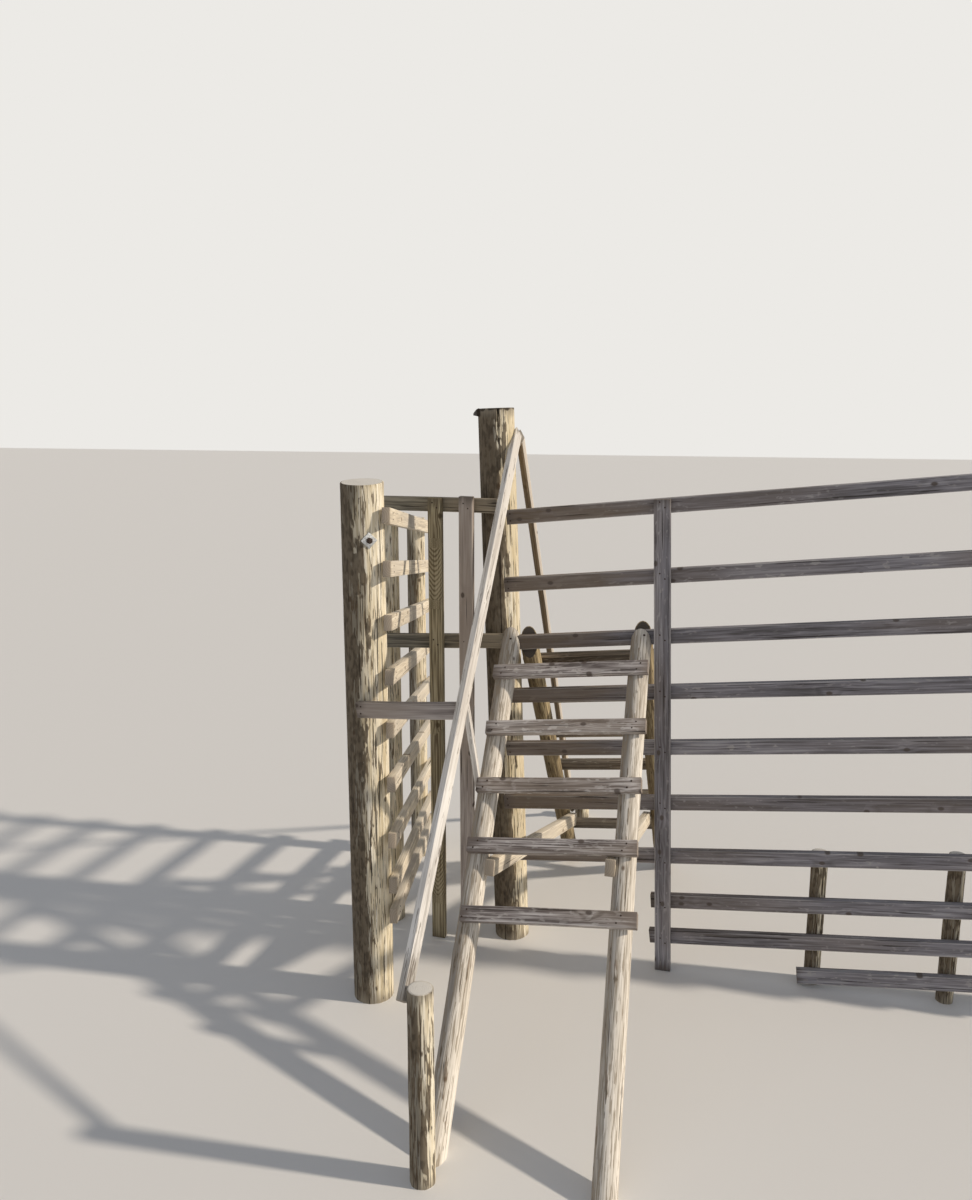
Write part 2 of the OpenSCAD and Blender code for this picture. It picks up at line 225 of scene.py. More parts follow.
# Patterns of noise: how many to the metre along the grain and across it, and their detail. Fibres are
# 3 mm wide in life and drawn 6 mm wide, and streaks of weathering 20 mm, so that both show from across
# a fence.
LAYERS = {
    "fibre": (6, 160, 2.0),
    "streak": (2.0, 50, 2.0),
    "patch": (1.6, 10, 3.0),
    "cast": (0.9, 4, 1.0),
    "spot": (24, 55, 2.0),
    "fleck": (9, 150, 3.0),
    "split": (2.4, 100, 1.5),
}
# Where each feature begins and where it is whole, on the scale of what it is drawn from. Noise itself
# hardly leaves the first of them.
SPAN = {
    "noise": (0.3, 0.7),
    "tone": (0.32, 0.68),
    "late wood": (-0.6, 1.0),
    "cast": (0.42, 0.60),
    "crust": (0.40, 0.60),
    "fleck": (0.575, 0.60),
    "bark": (0.45, 0.60),
    "bark plate": (0.40, 0.56),
    "corner": (0.88, 1.0),
    "rub_or_sheen": (0.4, 0.6),
    "crack": (0.5, 0.8),
}
# How much each hides of the wood under it
COVER = {"spots": 0.8, "flecks": 0.8, "bark": 0.9, "stain": 0.85, "knot": 0.85, "crack": 0.85}
# How far each stands up from the wood or is sunk in it, in shares of the timber's relief
STAND = {"fibre": 0.5, "streak": 0.4, "spots": 0.25, "flecks": -0.35, "bark": 0.6, "crack": -1.2}
SPOT_BLEND = 0.07
CRACK_BLEND = 0.025
# How much thicker flecks lie in one place than in another, and on the weather side than on the other,
# where they also deepen the painted shade of the side away from the sun
FLECK_DRIFT = (-0.04, 0.05)
FLECK_SIDE = (-0.05, 0.06)
BARK_TORN = 0.3
# How far down its sides the colour of a sawn-off end shows, and how dark its rings are
END_DEEP = 0.0024
END_RINGS = 0.22
BUMP = 0.8

# Cells per metre along and across that may hold a knot, the share of them that do, and a knot's reach
# in its cell
KNOT_CELLS = (6, 9)
KNOT_CHANCE = 0.35
KNOT_SIZE = 0.11
# How far the rings bend round a knot, and how far they stray along the length
KNOT_BULGE = 0.012
RING_STRAY = 0.010
# Cathedral grain, where the saw ran out of the rings: how far its middle is from each end, half its
# length where it is whole and where it is gone, how ragged and how uneven its arches are, and the width
# of an arm against the rise of an arch
ARCH_AT = 0.40
ARCH_WHOLE = 0.14
ARCH_GONE = 0.19
ARCH_RAGGED = 0.016
ARCH_UNEVEN = 0.09
ARM_WIDTH = 0.65


def growth_rings(tree, grain, along, layer, ring, knot_depth, arch):
    """Growth rings round the pith, bent along the length and round the knots, and the distance from the
    nearest knot. arch is the rise from one arch of cathedral grain to the next, or 0 for none."""
    section = add(tree, "VectorMath", grain, (0, 1, 1), operation="MULTIPLY")
    from_pith = add(tree, "VectorMath", section, operation="LENGTH")
    cells = add(tree, "VectorMath", grain, (*KNOT_CELLS, knot_depth), operation="MULTIPLY")
    centre, chance = add(tree, "TexVoronoi", cells, 1.0, out=None,
                         voronoi_dimensions="3D" if knot_depth else "2D")[:2]
    none_here = add(tree, "MapRange", add(tree, "SeparateColor", chance), KNOT_CHANCE, KNOT_CHANCE + 0.01)
    from_knot = add(tree, "Math", centre, none_here)
    bulge = add(tree, "MapRange", from_knot, 0.0, 4 * KNOT_SIZE, KNOT_BULGE, 0.0)
    bend = add(tree, "MapRange", layer["patch"], *SPAN["noise"], 0.0, RING_STRAY)
    radius = add(tree, "Math", add(tree, "Math", from_pith, bend), bulge)
    turns = add(tree, "Math", radius, 2 * math.pi / ring, operation="MULTIPLY")
    if arch:
        ragged = add(tree, "Math", layer["streak"], ARCH_RAGGED, operation="MULTIPLY")
        uneven = add(tree, "Math", layer["patch"], ARCH_UNEVEN, operation="MULTIPLY")
        height = add(tree, "Math", add(tree, "SeparateXYZ", grain), add(tree, "Math", ragged, uneven))
        climb = add(tree, "Math", height, -2 * math.pi / arch, operation="MULTIPLY")
        arms = add(tree, "Math", radius, 2 * math.pi / (ARM_WIDTH * arch), operation="MULTIPLY")
        away = add(tree, "Math", add(tree, "Math", along, -ARCH_AT), operation="ABSOLUTE")
        inside = add(tree, "MapRange", away, ARCH_WHOLE, ARCH_GONE, 1.0, 0.0)
        nested = add(tree, "Math", arms, climb)
        turns = add(tree, "Mix", inside, turns, nested)
    rings = add(tree, "MapRange", add(tree, "Math", turns, operation="SINE"), *SPAN["late wood"])
    return rings, from_knot


def lay_over(tree, shade, height, amount, paint, kind=None):
    """Lays paint over the wood where amount is above 0, and lifts or sinks the wood there."""
    shade = add(tree, "Mix", amount, shade, paint, data_type="RGBA")
    if kind in STAND:
        height = add(tree, "Math", height, add(tree, "Math", amount, STAND[kind], operation="MULTIPLY"))
    return shade, height


def timber(name, tones, crack, knot, end, *, pulls, ring_pull, crack_from, rough, relief, edge=None,
           ring=0.007, knot_depth=0, cast=None, cast_amount=0.6, spots=None, spot_from=None, flecks=None,
           worn_or_painted_light=None, worn_or_painted_light_from=0.62, worn_or_painted_light_amount=0.85, worn_or_painted_light_blend=0.25, bark=None, stain=None,
           stain_reach=0.055, arch=0.0):
    """Softwood, shaded from the timber's own length, width and thickness, so that the grain follows it.
    tones are its dark, middle and pale colours, pulls how far its fibres, streaks and patches move the
    wood between them, and ring_pull how far the late wood of its rings darkens it. crack, knot, end and
    edge are the colours of its cracks, knots, sawn-off ends and rubbed edges. cast lies over it in broad
    patches, spots are lichen, flecks and bark are what the peeler left, stain is the damp at its ends,
    and worn_or_painted_light is its colour where the third value of "mark" is high: wear, painted shade
    on the side of a round timber away from the sun, or a painted highlight on the far handrail's right."""
    material, tree = new_tree(name)
    grain = add(tree, "Attribute", out=1, attribute_name="grain")
    place = add(tree, "Attribute", out=1, attribute_name="place")
    mark = add(tree, "Attribute", out=1, attribute_name="mark")
    along, across, through = add(tree, "SeparateXYZ", place, out=None)
    split, skin, wear_or_light_mark = add(tree, "SeparateXYZ", mark, out=None)
    layer = {}
    for key, (lengthwise, crosswise, detail) in LAYERS.items():
        stretched = add(tree, "VectorMath", grain, (lengthwise, crosswise, crosswise), operation="MULTIPLY")
        layer[key] = add(tree, "TexNoise", stretched, 1.0, detail)
    rings, from_knot = growth_rings(tree, grain, along, layer, ring, knot_depth, arch)

    # The wood itself
    tone = 0.5
    for key, pull in zip(("fibre", "streak", "patch"), pulls):
        part = add(tree, "MapRange", layer[key], *SPAN["tone"], -pull / 2, pull / 2)
        tone = add(tree, "Math", part, tone)
    late = add(tree, "Math", rings, -ring_pull, operation="MULTIPLY")
    tone = add(tree, "Math", tone, late)
    ramp = tree.nodes.new("ShaderNodeValToRGB")
    stops = ramp.color_ramp.elements
    stops[0].position, stops[1].position = 0.0, 1.0
    stops[0].color, stops[1].color = colour(tones[0]), colour(tones[2])
    stops.new(0.5).color = colour(tones[1])
    tree.links.new(tone, ramp.inputs["Fac"])
    shade = ramp.outputs["Color"]
    height = add(tree, "Math", add(tree, "Math", layer["fibre"], STAND["fibre"], operation="MULTIPLY"),
                 add(tree, "Math", layer["streak"], STAND["streak"], operation="MULTIPLY"))

    # What lies on it
    if cast:
        veil = add(tree, "MapRange", layer["cast"], *SPAN["cast"], 0.0, cast_amount)
        shade, height = lay_over(tree, shade, height, veil, colour(cast))
    if spots:
        where = add(tree, "MapRange", layer["patch"], *SPAN["crust"], 0.2, 1.0)
        dots = add(tree, "MapRange", layer["spot"], spot_from, spot_from + SPOT_BLEND, 0.0, COVER["spots"])
        crust = add(tree, "Math", where, dots, operation="MULTIPLY")
        shade, height = lay_over(tree, shade, height, crust, colour(spots), "spots")
    # Wear, and painted light: the grey on a round timber's left is partly painted shade, and the far
    # handrail's pale right is a painted highlight
    if worn_or_painted_light:
        wander = 0.8 * worn_or_painted_light_blend
        stray = add(tree, "MapRange", layer["patch"], *SPAN["noise"], -wander, wander)
        side = add(tree, "Math", wear_or_light_mark, stray)
        grey = add(tree, "MapRange", side, worn_or_painted_light_from, worn_or_painted_light_from + worn_or_painted_light_blend, 0.0, worn_or_painted_light_amount)
        shade, height = lay_over(tree, shade, height, grey, colour(worn_or_painted_light))
    if flecks:
        drift = add(tree, "MapRange", layer["patch"], *SPAN["noise"], *FLECK_DRIFT)
        more = add(tree, "Math", add(tree, "MapRange", wear_or_light_mark, 0.0, 1.0, *FLECK_SIDE), drift)
        thick = add(tree, "Math", layer["fleck"], more)
        fleck = add(tree, "MapRange", thick, *SPAN["fleck"], 0.0, COVER["flecks"])
        shade, height = lay_over(tree, shade, height, fleck, colour(flecks), "flecks")
    if bark:
        ragged = add(tree, "MapRange", layer["fleck"], *SPAN["noise"], -BARK_TORN, BARK_TORN)
        left = add(tree, "MapRange", add(tree, "Math", skin, ragged), *SPAN["bark"], 0.0, COVER["bark"])
        plates = add(tree, "MapRange", layer["spot"], *SPAN["bark plate"])
        flake = add(tree, "Mix", plates, colour(bark[0]), colour(bark[1]), data_type="RGBA")
        shade, height = lay_over(tree, shade, height, left, flake, "bark")
    # Pale edges: rubbed wear, and on the weathered rails also a painted highlight along their sunlit edges
    if edge:
        corner = add(tree, "Math", add(tree, "Math", across, operation="ABSOLUTE"),
                     add(tree, "Math", through, operation="ABSOLUTE"), operation="MINIMUM")
        rub_or_sheen = add(tree, "Math", add(tree, "MapRange", corner, *SPAN["corner"]),
                  add(tree, "MapRange", layer["streak"], *SPAN["rub_or_sheen"], 0.3, 0.9), operation="MULTIPLY")
        shade, height = lay_over(tree, shade, height, rub_or_sheen, colour(edge))
    if stain:
        creep = add(tree, "MapRange", layer["streak"], *SPAN["noise"], -0.5 * stain_reach, 0.5 * stain_reach)
        damp = add(tree, "Math", along, creep)
        wet = add(tree, "MapRange", damp, 0.0, stain_reach, COVER["stain"], 0.0)
        shade, height = lay_over(tree, shade, height, wet, colour(stain))
    if knot:
        heart = add(tree, "MapRange", from_knot, 0.6 * KNOT_SIZE, KNOT_SIZE, COVER["knot"], 0.0)
        shade, height = lay_over(tree, shade, height, heart, colour(knot))

    # The sawn-off ends, ringed round the pith
    cut_tone = add(tree, "MapRange", rings, 0.0, 1.0, 0.0, END_RINGS)
    cut_face = add(tree, "Mix", cut_tone, colour(end), colour(crack), data_type="RGBA")
    sawn_off = add(tree, "MapRange", along, 0.0, END_DEEP, 1.0, 0.0)
    shade, height = lay_over(tree, shade, height, sawn_off, cut_face)

    # Drying cracks along the grain. The fine ones stop short of the sawn-off ends
    fine = add(tree, "MapRange", layer["split"], crack_from, crack_from + CRACK_BLEND)
    fine = add(tree, "Math", fine, sawn_off, operation="SUBTRACT", use_clamp=True)
    opened = add(tree, "Math", fine, add(tree, "MapRange", split, *SPAN["crack"]), operation="MAXIMUM")
    dark = add(tree, "Math", opened, COVER["crack"], operation="MULTIPLY")
    shade = add(tree, "Mix", dark, shade, colour(crack), data_type="RGBA")
    height = add(tree, "Math", height, add(tree, "Math", opened, STAND["crack"], operation="MULTIPLY"))
    bump = tree.nodes.new("ShaderNodeBump")
    bump.inputs["Strength"].default_value = BUMP
    bump.inputs["Distance"].default_value = relief
    tree.links.new(height, bump.inputs["Height"])
    dull = add(tree, "MapRange", layer["fibre"], *SPAN["noise"], rough - 0.08, rough + 0.06)
    finish_tree(tree, shade, dull, bump.outputs["Normal"], IOR=1.5, Specular_IOR_Level=0.3)
    return material


# Peeled round larch posts: pale cream where the sun bleaches them, flecked with the inner bark that the
# peeler left, and grey and darker on their left, away from the sun, partly weathering and partly painted
# shade
peeled_post = timber(
    "peeled_larch_post", ["#cbbd9f", "#e9dfc7", "#f6f0e0"], "#2b2117", "#4a3b2b", "#e4e0d8",
    pulls=(0.9, 0.7, 0.5), ring_pull=0.1, crack_from=0.65, rough=0.88, relief=0.0024, knot_depth=9,
    cast="#d6c49c", cast_amount=0.4, flecks="#4c3b26", worn_or_painted_light="#615a4f", worn_or_painted_light_from=0.58,
    bark=("#4c4235", "#6a5f4f"), stain="#8d8474")
# Peeled round spruce poles, smoother and silvered by the weather, and greyer on their left, away from
# the sun, partly weathering and partly painted shade
peeled_pole = timber(
    "peeled_spruce_pole", ["#b5ac9f", "#dfd8cc", "#f3ede3"], "#40372d", "#6a5743", "#8d857b",
    pulls=(0.8, 0.7, 0.4), ring_pull=0.1, crack_from=0.70, rough=0.8, relief=0.0014, knot_depth=9,
    flecks="#978a78", worn_or_painted_light="#8a8279", worn_or_painted_light_from=0.72, bark=("#6f6352", "#97897a"), stain="#9a9186")
# The far ladder's poles, browner and darker at their ends, and greyer on their left, away from the sun,
# partly weathering and partly painted shade
brown_pole = timber(
    "damp_spruce_pole", ["#70634e", "#a39272", "#cfbd96"], "#2e261d", "#4a3c2a", "#5f5850",
    pulls=(0.7, 0.7, 0.5), ring_pull=0.1, crack_from=0.69, rough=0.86, relief=0.0014, knot_depth=9,
    flecks="#66583f", worn_or_painted_light="#74674f", bark=("#4c4130", "#6d5f48"), stain="#4c4640", stain_reach=0.09)
# Sawn spruce treads: silver grey, browner in patches, with pale rubbed edges and crusts of lichen
silvered_tread = timber(
    "silvered_spruce_tread", ["#625a57", "#a8a19e", "#d6d1ce"], "#3b3430", "#564c46", "#978c82",
    pulls=(0.7, 0.6, 0.7), ring_pull=0.3, crack_from=0.65, rough=0.85, relief=0.0016, edge="#d3cdc8",
    ring=0.010, cast="#958777", cast_amount=0.4, spots="#cfcac5", spot_from=0.56, stain="#7b7068")
# The far ladder's treads, which keep out of the sun and stay brown
brown_tread = timber(
    "damp_spruce_tread", ["#4f463c", "#807466", "#a89b89"], "#2c251f", "#43382d", "#6f6558",
    pulls=(0.6, 0.6, 0.6), ring_pull=0.3, crack_from=0.67, rough=0.87, relief=0.0014, edge="#a89a85",
    ring=0.010, cast="#6c675f", spots="#9d968a", spot_from=0.60, stain="#4c433a")
# Sawn spruce rails: slate grey in the open, brown where the stile keeps the rain off them, with pale edges
# that are partly rubbed wear and partly a painted highlight of the sun
weathered_rail = timber(
    "weathered_spruce_rail", ["#5a5758", "#848186", "#aaa8ab"], "#2f2926", "#544b45", "#7c736a",
    pulls=(0.5, 0.4, 0.5), ring_pull=0.2, crack_from=0.67, rough=0.87, relief=0.0012, edge="#d2cdc8",
    ring=0.012, cast="#7b6f64", cast_amount=0.4, spots="#a5a19f", spot_from=0.61, worn_or_painted_light="#73634e",
    worn_or_painted_light_from=0.45, worn_or_painted_light_amount=0.65, stain="#5f5751")
# The gap panel's rails: olive brown, and paler towards the tall post
olive_rail = timber(
    "olive_spruce_rail", ["#4c473c", "#7b7464", "#a49b88"], "#2c261f", "#44392d", "#7a7061",
    pulls=(0.6, 0.5, 0.6), ring_pull=0.3, crack_from=0.67, rough=0.87, relief=0.0012, edge="#b3a998",
    ring=0.012, cast="#6a6964", cast_amount=0.4, worn_or_painted_light="#9a8d79", worn_or_painted_light_from=0.40, worn_or_painted_light_amount=0.6,
    stain="#5b5348")
# Newer sawn rails, still cream under a bleached skin
bleached_rail = timber(
    "bleached_spruce_rail", ["#bbb09f", "#e0d4be", "#f2ead9"], "#574b3e", "#7d6a52", "#aa9d8c",
    pulls=(0.6, 0.5, 0.5), ring_pull=0.2, crack_from=0.69, rough=0.84, relief=0.0010, edge="#eee7d8",
    ring=0.010, cast="#d0c8bb", stain="#b5aa98")
# Olive upright, with bold arches of grain where it was sawn close to the pith
olive_upright = timber(
    "olive_spruce_upright", ["#665b47", "#9d9277", "#b8ae95"], "#2c2418", "#463a26", "#6e6248",
    pulls=(0.5, 0.4, 0.4), ring_pull=0.5, crack_from=0.70, rough=0.86, relief=0.0012, edge="#aea183",
    ring=0.012, arch=0.026, stain="#6b604d")
# Mauve grey upright of plain grain
mauve_upright = timber(
    "mauve_spruce_upright", ["#7d7470", "#9e9590", "#b9b1ab"], "#3a322e", "#4a4038", "#81776d",
    pulls=(0.6, 0.5, 0.5), ring_pull=0.15, crack_from=0.70, rough=0.86, relief=0.0010, edge="#cfc6ba",
    ring=0.012, cast="#a09386", stain="#6b6259")
# Planed handrail bars, clear of knots and rubbed pale by hands and weather, and dirty at the foot where
# the grass keeps them damp
rubbed_bar = timber(
    "rubbed_spruce_bar", ["#bfbab4", "#e6e2dc", "#f5f3ee"], "#5f574e", None, "#a49a8d",
    pulls=(0.6, 0.6, 0.5), ring_pull=0.15, crack_from=0.69, rough=0.72, relief=0.0008, edge="#f3eee4",
    cast="#cac1b5", cast_amount=0.4, flecks="#756b61", worn_or_painted_light="#8b8378", worn_or_painted_light_from=0.45, worn_or_painted_light_amount=0.6,
    stain="#9d958a")
# The far handrail, seldom touched: brown, and painted pale along its right, the side towards the sun, as a
# painted highlight
brown_bar = timber(
    "brown_spruce_bar", ["#4a3f31", "#6c5d48", "#8d7c63"], "#2c241b", "#55462f", "#d8cdbc",
    pulls=(0.6, 0.6, 0.5), ring_pull=0.2, crack_from=0.68, rough=0.8, relief=0.0010, worn_or_painted_light="#f2e9dc",
    worn_or_painted_light_from=0.73, worn_or_painted_light_amount=0.92, worn_or_painted_light_blend=0.04)

# Which output of the coordinates node is the object's own
OBJECT = 3


def galvanised():
    """Hot-dip galvanised steel: dull grey with broad zinc flakes, 6 mm across."""
    material, tree = new_tree("galvanised_steel")
    spot = add(tree, "TexCoord", out=OBJECT)
    flakes = add(tree, "TexVoronoi", spot, 160.0, out=1)
    flake = add(tree, "SeparateColor", flakes)
    tone = add(tree, "Mix", flake, colour("#a7a9aa"), colour("#d5d7d8"), data_type="RGBA")
    dull = add(tree, "MapRange", flake, 0.0, 1.0, 0.38, 0.58)
    finish_tree(tree, tone, dull, Metallic=0.85)
    return material


def rusted():
    """Steel nail heads, rusted dark brown, in grains of 1 mm."""
    material, tree = new_tree("rusted_nail_steel")
    spot = add(tree, "TexCoord", out=OBJECT)
    rust = add(tree, "TexNoise", spot, 900.0)
    tone = add(tree, "Mix", rust, colour("#241d19"), colour("#4a382c"), data_type="RGBA")
    dull = add(tree, "MapRange", rust, 0.3, 0.7, 0.6, 0.8)
    finish_tree(tree, tone, dull, Metallic=0.3)
    return material


zinc = galvanised()
nail_steel = rusted()

# Timber shapes. A timber's own X runs along it, Y across its wide face and Z through it.

# How far apart two timbers may be in the noise, along their grain and for their shape
GRAIN_REACH = 40
SHAPE_REACH = 50
# How far the pith may lie from the middle of a sawn timber, across it and through it, and of a log
PITH_ACROSS = 0.03
PITH_THROUGH = (0.02, 0.05)
PITH_LOG = 0.012
# How much of its size a sawn timber may want in places, how far its face may be cupped, and how far out
# of square its ends may be
WANE = 0.006
CUP = 0.0006
SKEW = 0.03
# Rain and frost come from the left, so the round timbers are grey there. The left is also the side away
# from the sun, so that grey is partly painted shade
WEATHER_AND_SHADE_SIDE = Vector((-0.8, -0.6, 0))
# Where a log's side and its rim begin, and how deep its lumps are, in shares of its radius
SIDE_FROM = 0.97
RIM_FROM = 0.9
LUMP_DEEP = 0.014
# Width of each of the two rings of faces that let a log's end shrink with its side, in shares of its radius
CAP_STEP = 0.28
# How far down from the top a rotten rim reaches
RIM_DEEP = 0.004
# Fissures follow the lines where a noise is nought: how much they weave, how narrow they are, and how far
# they run before they break off
FISSURE_WEAVE = 0.12
FISSURE_NARROW = 20
FISSURE_RUN = 0.5
# How ragged bark is, how high its noise has to be to leave any, and how sharply it ends
BARK_RAGGED = 0.45
BARK_FROM = 0.22
BARK_SHARP = 3.5
# Half the width and the depth of a deep drying crack, and how far it wanders round a log, in radians
CHECK_W = 0.004
CHECK_DEEP = 0.016
CHECK_WANDER = 0.05
# Insets and rises of the steps that round an end over
EASED = ((0.003, 0.002),)
POST_RIM = ((0.004, 0.002), (0.008, 0.001))
TALL_RIM = ((0.004, 0.002), (0.010, 0.001))
SLOPING_RIM = ((0.002, 0.003), (0.003, 0.001))
POLE_RIM = ((0.006, 0.006), (0.006, 0.003), (0.007, 0.001))
FACE_RIM = (0.0015, 0)
# Feet are sawn off this far above the floor
SOLE = 0.0005

# Waves of noise along a timber, to the metre, and across it or round a log
WAVES = {
    "wane": (9, 30),
    "lump": (1.8, 1.1),
    "fissure": (3.1, 6.5),
    "weave": (11, 4),
    "bark strip": (4.2, 3.2),
    "bark scale": (26, 9),
    "rot": (0, 3.5),
    "check": (9, 1),
}


def waver(kind, x, y, z, drift):
    """Noise, from about -1 to 1, at a point of a timber."""
    along, across = WAVES[kind]
    return noise.noise(Vector((x * along, y * across, z * across)) + drift)


def share(value):
    """A value kept between 0 and 1."""
    return min(1.0, max(0.0, value))


def anywhere(rng):
    """A place in the noise, so that no two timbers are alike."""
    return Vector([rng.uniform(-SHAPE_REACH, SHAPE_REACH) for _ in range(3)])


def rise_of(rim):
    """How much a rim adds to a log's length."""
    return sum(rise for inset, rise in rim)


def along_frame(start, along, across):
    """The frame of a timber that starts at a point, with its X and, as nearly as it can, its Y given."""
    x = Vector(along).normalized()
    y = Vector(across)
    y = (y - x * x.dot(y)).normalized()
    z = x.cross(y)
    return Matrix.Translation(start) @ Matrix((x, y, z)).transposed().to_4x4()


def long_edges(bm, length):
    return [e for e in bm.edges if abs(e.verts[0].co.x - e.verts[1].co.x) > length / 2]


def write_grain(bm, length, half_y, half_z, rng, pith):
    """Keeps what each point's finish is drawn from. "grain" is its place in the straight timber, from the
    pith. "place" is its distance from the nearer end and how far out it lies, from 0 in the middle to 1 at
    a face. "mark" is filled in later: how open a crack is, how much bark is left, and how much weathering
    or the shelter of the stile has done, which on a round timber's left is also painted shade, or how far
    towards the sun a point lies, for a painted highlight."""
    grain = bm.verts.layers.float_vector.new("grain")
    place = bm.verts.layers.float_vector.new("place")
    bm.verts.layers.float_vector.new("mark")
    shift = Vector((rng.uniform(-GRAIN_REACH, GRAIN_REACH), pith[0], pith[1]))
    for v in bm.verts:
        v[grain] = v.co + shift
        v[place] = Vector((min(v.co.x, length - v.co.x), v.co.y / half_y, v.co.z / half_z))


def sawn(matrix, length, width, thick, seed, edge=0.0022, bow=0.0025, step=0.08, pith=None, dry=None,
         sun=False):
    """One sawn timber with eased edges, a slight bow and ends that aren't quite square. dry gives two
    places along it: the stile shelters it wholly at the first and no more at the second. With sun it
    keeps how far round to the right, the sunny side, each point lies, for a painted highlight there."""
    rng = random.Random(seed)
    bm = bmesh.new()
    size = Matrix.Diagonal((length, width, thick, 1))
    bmesh.ops.create_cube(bm, size=1.0, matrix=Matrix.Translation((length / 2, 0, 0)) @ size)
    bmesh.ops.bevel(bm, geom=bm.edges[:], offset=edge, offset_type="OFFSET", segments=2,
                    profile=0.5, affect="EDGES", material=-1)
    cuts = max(3, 2 * round(length / step / 2) - 1)
    bmesh.ops.subdivide_edges(bm, edges=long_edges(bm, length), cuts=cuts, use_grid_fill=True)
    for y in (-width / 4, 0, width / 4):
        bmesh.ops.bisect_plane(bm, geom=bm.verts[:] + bm.edges[:] + bm.faces[:], plane_co=(0, y, 0),
                               plane_no=(0, 1, 0))
    if pith is None:
        pith = (rng.uniform(-PITH_ACROSS, PITH_ACROSS), rng.choice((-1, 1)) * rng.uniform(*PITH_THROUGH))
    write_grain(bm, length, width / 2, thick / 2, rng, pith)
    drift = anywhere(rng)
    bow_y, bow_z = rng.uniform(-bow, bow), rng.uniform(-bow, bow)
    cup = rng.uniform(-CUP, CUP)
    skew = [rng.uniform(-SKEW, SKEW) for _ in range(4)]
    mark = bm.verts.layers.float_vector["mark"]
    right = matrix.to_3x3().transposed() @ ALONG
    reach = abs(right.y) * width / 2 + abs(right.z) * thick / 2
    for v in bm.verts:
        x, y, z = v.co
        # The side towards the sun, which a material can paint pale as a painted highlight
        if sun:
            v[mark] = Vector((0, 0, 0.5 + 0.5 * (right.y * y + right.z * z) / reach))
        if dry:
            v[mark] = Vector((0, 0, share((x - dry[1]) / (dry[0] - dry[1]))))
        swell = math.sin(math.pi * x / length)
        wane = 1 - WANE * (1 + waver("wane", x, y, z, drift))
        v.co.y = y * wane + bow_y * swell
        v.co.z = z * wane + bow_z * swell + cup * (1 - (2 * y / width) ** 2)
        # A skewed end only ever loses length
        if x < 2 * edge:
            v.co.x = x + abs(skew[0] * width / 2) + skew[0] * y + abs(skew[1] * thick / 2) + skew[1] * z
        if x > length - 2 * edge:
            v.co.x = x - abs(skew[2] * width / 2) + skew[2] * y - abs(skew[3] * thick / 2) + skew[3] * z
    bm.transform(matrix)
    return bm


